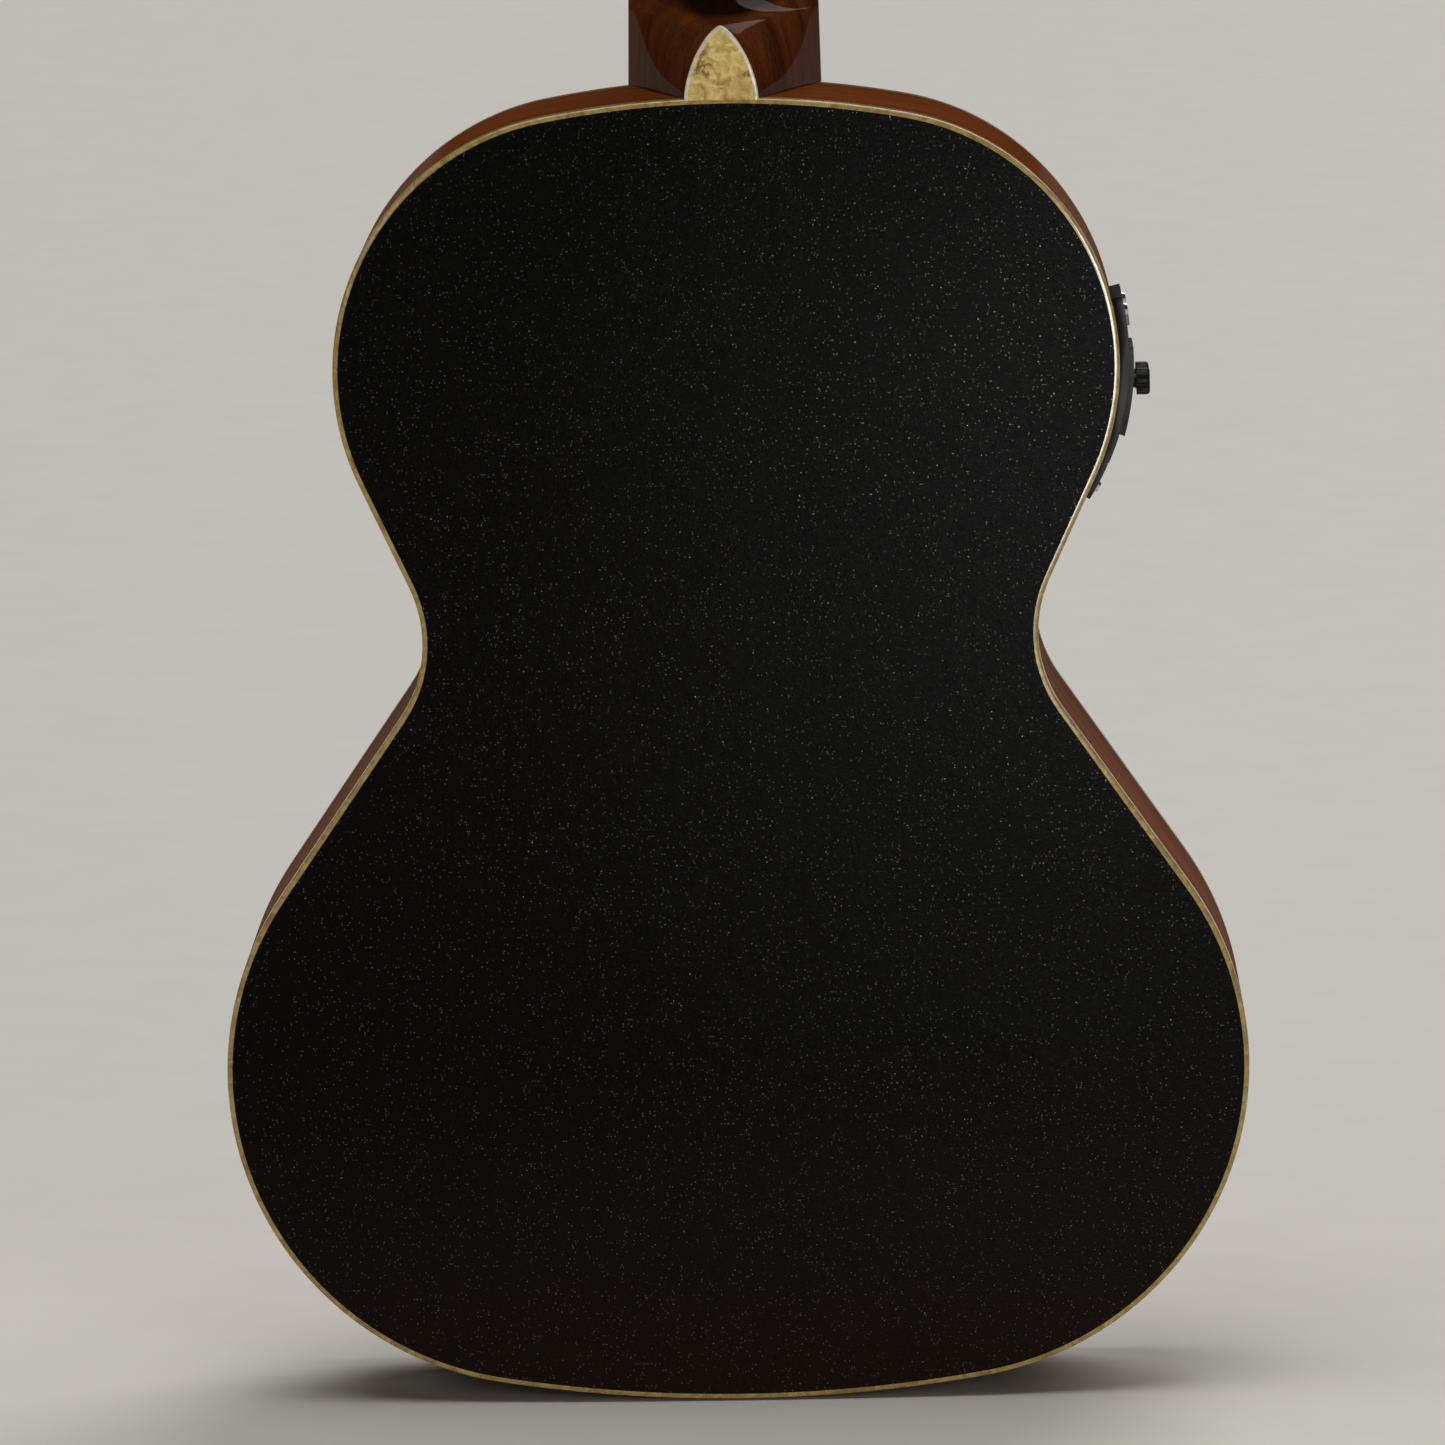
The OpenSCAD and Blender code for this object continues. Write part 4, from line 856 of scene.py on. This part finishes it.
def buildHeelCap():
    # flat arch with a softened edge and a paler strip along both sides
    bm = bmesh.new()
    left = [(-capEdge(z), z) for z in capRows(capSet["rows"])[:0:-1]]
    points = left + [(0, capTip)] + [(-x, z) for x, z in left[::-1]]
    ring = [bm.verts.new((x, capY, z)) for x, z in points]
    face = bm.faces.new(ring)
    grown = bmesh.ops.extrude_face_region(bm, geom=[face])["geom"]
    moveBy(bm, newVerts(grown), 0, -neckSet["capThickness"], 0)
    bmesh.ops.recalc_face_normals(bm, faces=bm.faces)
    top = max(bm.faces, key=lambda f: f.calc_center_median().y)
    rim = [e for e in top.edges if not all(v.co.z < bodyTop for v in e.verts)]
    roundEdges(bm, rim, capSet["soft"], 3)
    for f in bm.faces:
        f.material_index = 1
    bmesh.ops.inset_region(bm, faces=[f for f in bm.faces if f.normal.y > 0.99 and f.calc_area() > 1e-5],
                           thickness=capSet["strip"], depth=0)
    for f in bm.faces:
        if f.normal.y > 0.99 and f.calc_area() > 1e-4:
            f.material_index = 0
    return finishPiece("heel_cap_plate", bm, ["heelCap", "capEdge"], stands=("heel_cap",),
                       sharp=50)


buildNeck()
buildHeelCap()

# fretboard furniture
fretSet = dict(count=19, scale=0.584, boardRadius=0.406, boardThickness=0.0055, width=0.002, height=0.001,
               short=0.0002, tangDepth=0.0015, tangHalf=0.0003, crownSteps=8, across=20)


def fretZ(n):
    return -fretSet["scale"] * (1 - 2 ** (-n / 12))


def buildFrets():
    s, bm = fretSet, bmesh.new()
    axisY = s["boardRadius"] - s["boardThickness"]
    for n in range(1, s["count"] + 1):
        z = fretZ(n)
        half = asin((halfWidth(z) - s["short"]) / s["boardRadius"])
        crown = [(s["width"] / 2 * cos(pi * i / s["crownSteps"]), s["height"] * sin(pi * i / s["crownSteps"]))
                 for i in range(s["crownSteps"] + 1)]
        ring = [bm.verts.new((0, -s["boardThickness"] - rise, z + dz)) for dz, rise in crown]
        ring += [bm.verts.new((0, s["tangDepth"] - s["boardThickness"], z + dz))
                 for dz in (-s["tangHalf"], s["tangHalf"])]
        edges = [bm.edges.new(pair) for pair in zip(ring, ring[1:] + ring[:1])]
        bmesh.ops.rotate(bm, verts=ring, cent=(0, axisY, 0), matrix=Matrix.Rotation(-half, 3, "Z"))
        bm.faces.new(ring)
        last = bmesh.ops.spin(bm, geom=ring + edges, cent=(0, axisY, 0), axis=(0, 0, 1), angle=2 * half,
                              steps=s["across"])["geom_last"]
        bmesh.ops.contextual_create(bm, geom=newEdges(last))
    bmesh.ops.recalc_face_normals(bm, faces=bm.faces)
    return finishPiece("fret_wires", bm, "nickel", stands=("frets",), sharp=40)


buildFrets()

# strings, from 1 (treble) to 6 (bass)
stringSet = dict(gauges=(0.0003, 0.00041, 0.00066, 0.00086, 0.00112, 0.0014), around=3, clearance=0.00005,
                 nutSpread=0.036, nutY=0.0074, nutFrom=0.0005, nutTo=0.005,
                 saddleSpread=0.052, saddleY=0.0116, saddleZ=-0.5855, saddleBack=0.0017,
                 pinZ=-0.5968, pinRise=0.0013, anchorY=0.0075, bridgeHeight=0.008,
                 postX=0.0215, postRows=(0.032, 0.07, 0.108), wrapY=0.013, wrapRadius=0.0028,
                 turns=2.5, turnSteps=60, turnGap=0.00015)
ballSet = dict(radius=0.0019, length=0.0039, y=0.00945)
headSet = dict(hingeZ=0.005, tilt=-14)
headMatrix = Matrix.Translation((0, 0, headSet["hingeZ"])) @ Matrix.Rotation(radians(headSet["tilt"]), 4, "X")


def spreadOver(n, total):
    return total / 2 - (n - 1) * total / 5


def postSide(n):
    return 1 if n <= 3 else -1


def postRow(n):
    return stringSet["postRows"][n - 1 if n <= 3 else 6 - n]


def stringPoints(n):
    s = stringSet
    r, xn, xs = s["gauges"][n - 1] / 2, spreadOver(n, s["nutSpread"]), spreadOver(n, s["saddleSpread"])
    dropN, dropS = (x * x / (2 * fretSet["boardRadius"]) for x in (xn, xs))
    overNut = -s["nutY"] + dropN - r + s["clearance"]
    points = [Vector((xs, s["anchorY"], s["pinZ"])),
              Vector((xs, -s["bridgeHeight"] - s["pinRise"], s["pinZ"])),
              Vector((xs, -s["saddleY"] + dropS - r - s["clearance"], s["saddleZ"] - s["saddleBack"])),
              Vector((xn, overNut, s["nutFrom"])), Vector((xn, overNut, s["nutTo"]))]
    reach = s["wrapRadius"] + r
    for i in range(s["turnSteps"] + 1):
        a = 2 * pi * s["turns"] * i / s["turnSteps"]
        points.append(headMatrix @ Vector((
            postSide(n) * (s["postX"] - reach * cos(a)),
            -s["wrapY"] + (2 * r + s["turnGap"]) * a / (2 * pi),
            postRow(n) + reach * sin(a))))
    return points


def tubeAlong(name, points, radius, around):
    curve = bpy.data.curves.new(name, "CURVE")
    curve.dimensions, curve.use_fill_caps = "3D", True
    curve.bevel_depth, curve.bevel_resolution = radius, around
    spline = curve.splines.new("POLY")
    spline.points.add(len(points) - 1)
    for point, place in zip(spline.points, points):
        point.co = (*place, 1)
    made = bpy.data.objects.new(name, curve)
    scene.collection.objects.link(made)
    bpy.context.view_layer.update()
    bm = bmesh.new()
    bm.from_mesh(bpy.data.meshes.new_from_object(made.evaluated_get(bpy.context.evaluated_depsgraph_get())))
    bpy.data.objects.remove(made)
    outward(bm)
    return bm


def buildString(n):
    s, b = stringSet, ballSet
    bm = tubeAlong(f"route_{n}", stringPoints(n), s["gauges"][n - 1] / 2, s["around"])
    ball = addRod(bm, b["radius"], b["radius"], b["length"], segments=24)
    turnOver(bm, ball, pi / 2, "X")
    moveBy(bm, ball, spreadOver(n, s["saddleSpread"]), b["y"], s["pinZ"])
    return finishPiece(f"string_{n}", bm, "stringPlain" if n <= 2 else "stringWound", stands=("strings",))


for number in range(1, 7):
    buildString(number)
print("neck and strings made")

# tuning keys: oval buttons on the ends of the worm shafts
keySet = dict(shaftEnd=0.021, overlap=0.0006, buttonOut=0.005, halfLong=0.0086, halfShort=0.006,
              halfThick=0.0032, edge=0.0017, gearY=0.0172, wormDown=0.0069969)
ferruleSet = dict(foot=0.0027, tip=0.0023, length=0.0022, bite=0.0002)


def buildKey(n):
    s, side = keySet, postSide(n)
    shaftX = side * (stringSet["postX"] + s["shaftEnd"] - s["overlap"])
    bm = fromCad(f"tuner_knob_{n}")
    bmesh.ops.bisect_plane(bm, geom=wholeOf(bm), dist=1e-7, plane_co=(shaftX, 0, 0), plane_no=(side, 0, 0),
                           clear_outer=True)
    bmesh.ops.holes_fill(bm, edges=[e for e in bm.edges if e.is_boundary], sides=0)
    finishPiece(f"key_shaft_{n}", bm, "chrome", body=f"key_{n}", stands=(f"tuner_knob_{n}",),
                sharp=30)
    bm = bmesh.new()
    rim = bmesh.ops.create_circle(bm, segments=44, radius=1, cap_ends=True)["verts"]
    bmesh.ops.scale(bm, verts=rim, vec=(s["halfShort"], s["halfLong"], 1))
    turnOver(bm, rim, pi / 2, "X")
    moveBy(bm, rim, 0, -s["halfThick"], 0)
    thicken(bm, 2 * s["halfThick"])
    roundEdges(bm, [e for e in bm.edges if e.calc_face_angle(0) > radians(60)], s["edge"], 5)
    ferrule = addRod(bm, ferruleSet["foot"], ferruleSet["tip"], ferruleSet["length"])
    turnOver(bm, ferrule, -side * pi / 2, "Y")
    moveBy(bm, ferrule, -side * (s["halfShort"] - ferruleSet["bite"]), 0, 0)
    for f in {f for v in ferrule for f in v.link_faces}:
        f.material_index = 1
    centre = Vector((side * (stringSet["postX"] + s["shaftEnd"] + s["buttonOut"]), s["gearY"],
                     postRow(n) - s["wormDown"]))
    bmesh.ops.transform(bm, verts=bm.verts, matrix=headMatrix @ Matrix.Translation(centre))
    finishPiece(f"key_button_{n}", bm, ["cream", "chrome"], body=f"key_{n}", sharp=40)


for number in range(1, 7):
    buildKey(number)

# control knobs with fine ribs round them
knobSet = dict(radius=0.004, ribs=30, ribDepth=0.00022, foot=0.0007, height=0.0046, edge=0.0009,
               rim=0.0006, shaft=0.002, shaftLength=0.014, sink=0.0002)


def buildControl(name, node, body):
    s = knobSet
    low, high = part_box(node)
    centreY, centreZ = (low.y + high.y) / 2, (low.z + high.z) / 2
    bm = bmesh.new()
    ring = bmesh.ops.create_circle(bm, segments=s["ribs"] * 4, radius=s["radius"], cap_ends=True)["verts"]
    for i, v in enumerate(ring):
        v.co *= 1 - (s["ribDepth"] / s["radius"] if i % 4 > 1 else 0)
    grown = bmesh.ops.extrude_face_region(bm, geom=bm.faces[:])["geom"]
    moveBy(bm, newVerts(grown), 0, 0, s["height"] - s["foot"])
    bmesh.ops.recalc_face_normals(bm, faces=bm.faces)
    top = max(bm.faces, key=lambda f: f.calc_center_median().z)
    roundEdges(bm, top.edges[:], s["edge"], 4, clamp_overlap=False)
    top = max(bm.faces, key=lambda f: f.calc_center_median().z)
    bmesh.ops.inset_region(bm, faces=[top], thickness=s["rim"], depth=0)
    moveBy(bm, bm.verts, 0, 0, s["foot"])
    stem = addRod(bm, s["shaft"], s["shaft"], s["shaftLength"])
    moveBy(bm, stem, 0, 0, s["foot"] - s["shaftLength"] / 2 + s["sink"])
    turn = Matrix.Translation((low.x + s["height"], centreY, centreZ)) @ Matrix.Rotation(-pi / 2, 4, "Y")
    bmesh.ops.transform(bm, verts=bm.verts, matrix=turn)
    finishPiece(name, bm, "blackPlastic", body=body, stands=(node,), sharp=40)


buildControl("volume_cap", "volume_knob", "volume_control")
buildControl("tone_cap", "tone_knob", "tone_control")

# pieces whose shape comes straight from the frame: (finish, softened edge in metres or 0)
asMade = {
    "headstock": ("neck", 0.0007), "headstock_overlay": ("overlay", 0.0003),
    "truss_rod_cover": ("blackGloss", 0.0003), "fretboard": ("rosewood", 0.0003), "fret_dots": ("pearl", 0),
    "nut": ("bone", 0.0003), "saddle": ("bone", 0.0004), "bridge": ("bridgeWood", 0.0007),
    "bridge_pins": ("bone", 0), "tuner_plate_bass": ("chrome", 0.0002),
    "tuner_plate_treble": ("chrome", 0.0002), "tuner_bushings": ("chrome", 0), "screws": ("chrome", 0),
    "preamp_panel": ("blackPlastic", 0.0011),
    "tuner_button": ("button", 0.0004), "display_lens": ("lens", 0), "battery_tray": ("blackPlastic", 0.0003),
    "coin_cells": ("steel", 0.0003), "jack_plate": ("chrome", 0.0003), "output_jack": ("chrome", 0.0003),
    "truss_rod_nut": ("brass", 0.0002), "leads": ("sheath", 0), "preamp_box": ("blackGloss", 0),
}
for number in range(1, 7):
    asMade[f"tuner_post_{number}"] = ("chrome", 0)
for node, (finish, bevel) in asMade.items():
    finishPiece(f"{node}_finished", fromCad(node), finish, body=frame["nodes"][node]["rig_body"],
                stands=(node,), sharp=32, bevel=bevel)

# hidden pieces keep the frame's own shape
insideFinish = {
    "neck_block": "block", "tail_block": "block", "bridge_plate": "block", "linings": "inner",
    "x_brace_bass": "inner", "x_brace_treble": "inner", "soundboard_braces": "inner", "back_braces": "across",
    "truss_rod": "steel", "neck_bolts": "steel", "pickup_strip": "steel",
}
for node, finish in insideFinish.items():
    mesh = frame["nodes"][node].data
    mesh.materials.clear()
    mesh.materials.append(finishes[finish])
print("hardware made")

# floor, light and surroundings
floorSet = dict(size=60.0, colour="d6d2ca", below=0.0006)


def buildFloor():
    low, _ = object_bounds()
    bm = bmesh.new()
    bmesh.ops.create_grid(bm, x_segments=1, y_segments=1, size=floorSet["size"] / 2)
    bmesh.ops.translate(bm, verts=bm.verts, vec=(0, 0, low.z - floorSet["below"]))
    floor = looseObject("floor", bm)
    finish, tree, surface, where = newFinish("paleFloor", Roughness=0.7)
    speck = noise(tree, where["Object"], 35.0, 4.0)
    base = hexColour(floorSet["colour"])
    darker = tuple(c * 0.97 for c in base[:3]) + (1,)
    tree.links.new(mixColour(tree, ranged(tree, speck, 0.3, 0.7, 0.0, 1.0), base, darker),
                   surface.inputs["Base Color"])
    floor.data.materials.append(finish)


buildFloor()

# (place, point it faces, width, height, watts, roll, spread); narrow beams keep them off the floor
lampSet = {
    "key": ((-0.62, 2.1, -0.22), (-0.09, 0.088, -0.52), 0.2, 0.75, 0.54, -30, 40),
    "fillLeft": ((0.9, 2.2, 0.2), (0.05, 0.08, -0.5), 0.4, 0.6, 0.075, 0, 40),
}
# (strength, softness in degrees, direction it comes from)
sunSet = {
    "overhead": (1.5, 50, (0.1, 0.16, 1.0)),
    "fromFront": (1.3, 40, (-0.5, -1.1, 1.0)),
}


def placeLamp(name, place, target, width, height, watts, roll, spread):
    data = bpy.data.lights.new(name, "AREA")
    data.shape, data.size, data.size_y, data.energy = "RECTANGLE", width, height, watts
    data.spread = radians(spread)
    lamp = bpy.data.objects.new(name, data)
    aim = (Vector(target) - Vector(place)).to_track_quat("-Z", "Y").to_matrix().to_4x4()
    lamp.matrix_world = Matrix.Translation(place) @ aim @ Matrix.Rotation(radians(roll), 4, "Z")
    lamp.visible_camera = False
    scene.collection.objects.link(lamp)


for lampName, values in lampSet.items():
    placeLamp(lampName, *values)
for lampName, (strength, softness, direction) in sunSet.items():
    sun = bpy.data.lights.new(lampName, "SUN")
    sun.energy, sun.angle = strength, radians(softness)
    lamp = bpy.data.objects.new(lampName, sun)
    lamp.matrix_world = Vector(direction).to_track_quat("Z", "Y").to_matrix().to_4x4()
    scene.collection.objects.link(lamp)

world = bpy.data.worlds.new("surroundings")
scene.world = world
world.use_nodes = True
background = world.node_tree.nodes["Background"]
background.inputs["Color"].default_value = (0.80, 0.79, 0.77, 1)
seen = world.node_tree.nodes.new("ShaderNodeLightPath").outputs["Is Camera Ray"]
world.node_tree.links.new(ranged(world.node_tree, seen, 0.0, 1.0, 0.05, 0.75), background.inputs["Strength"])
print("stage made")
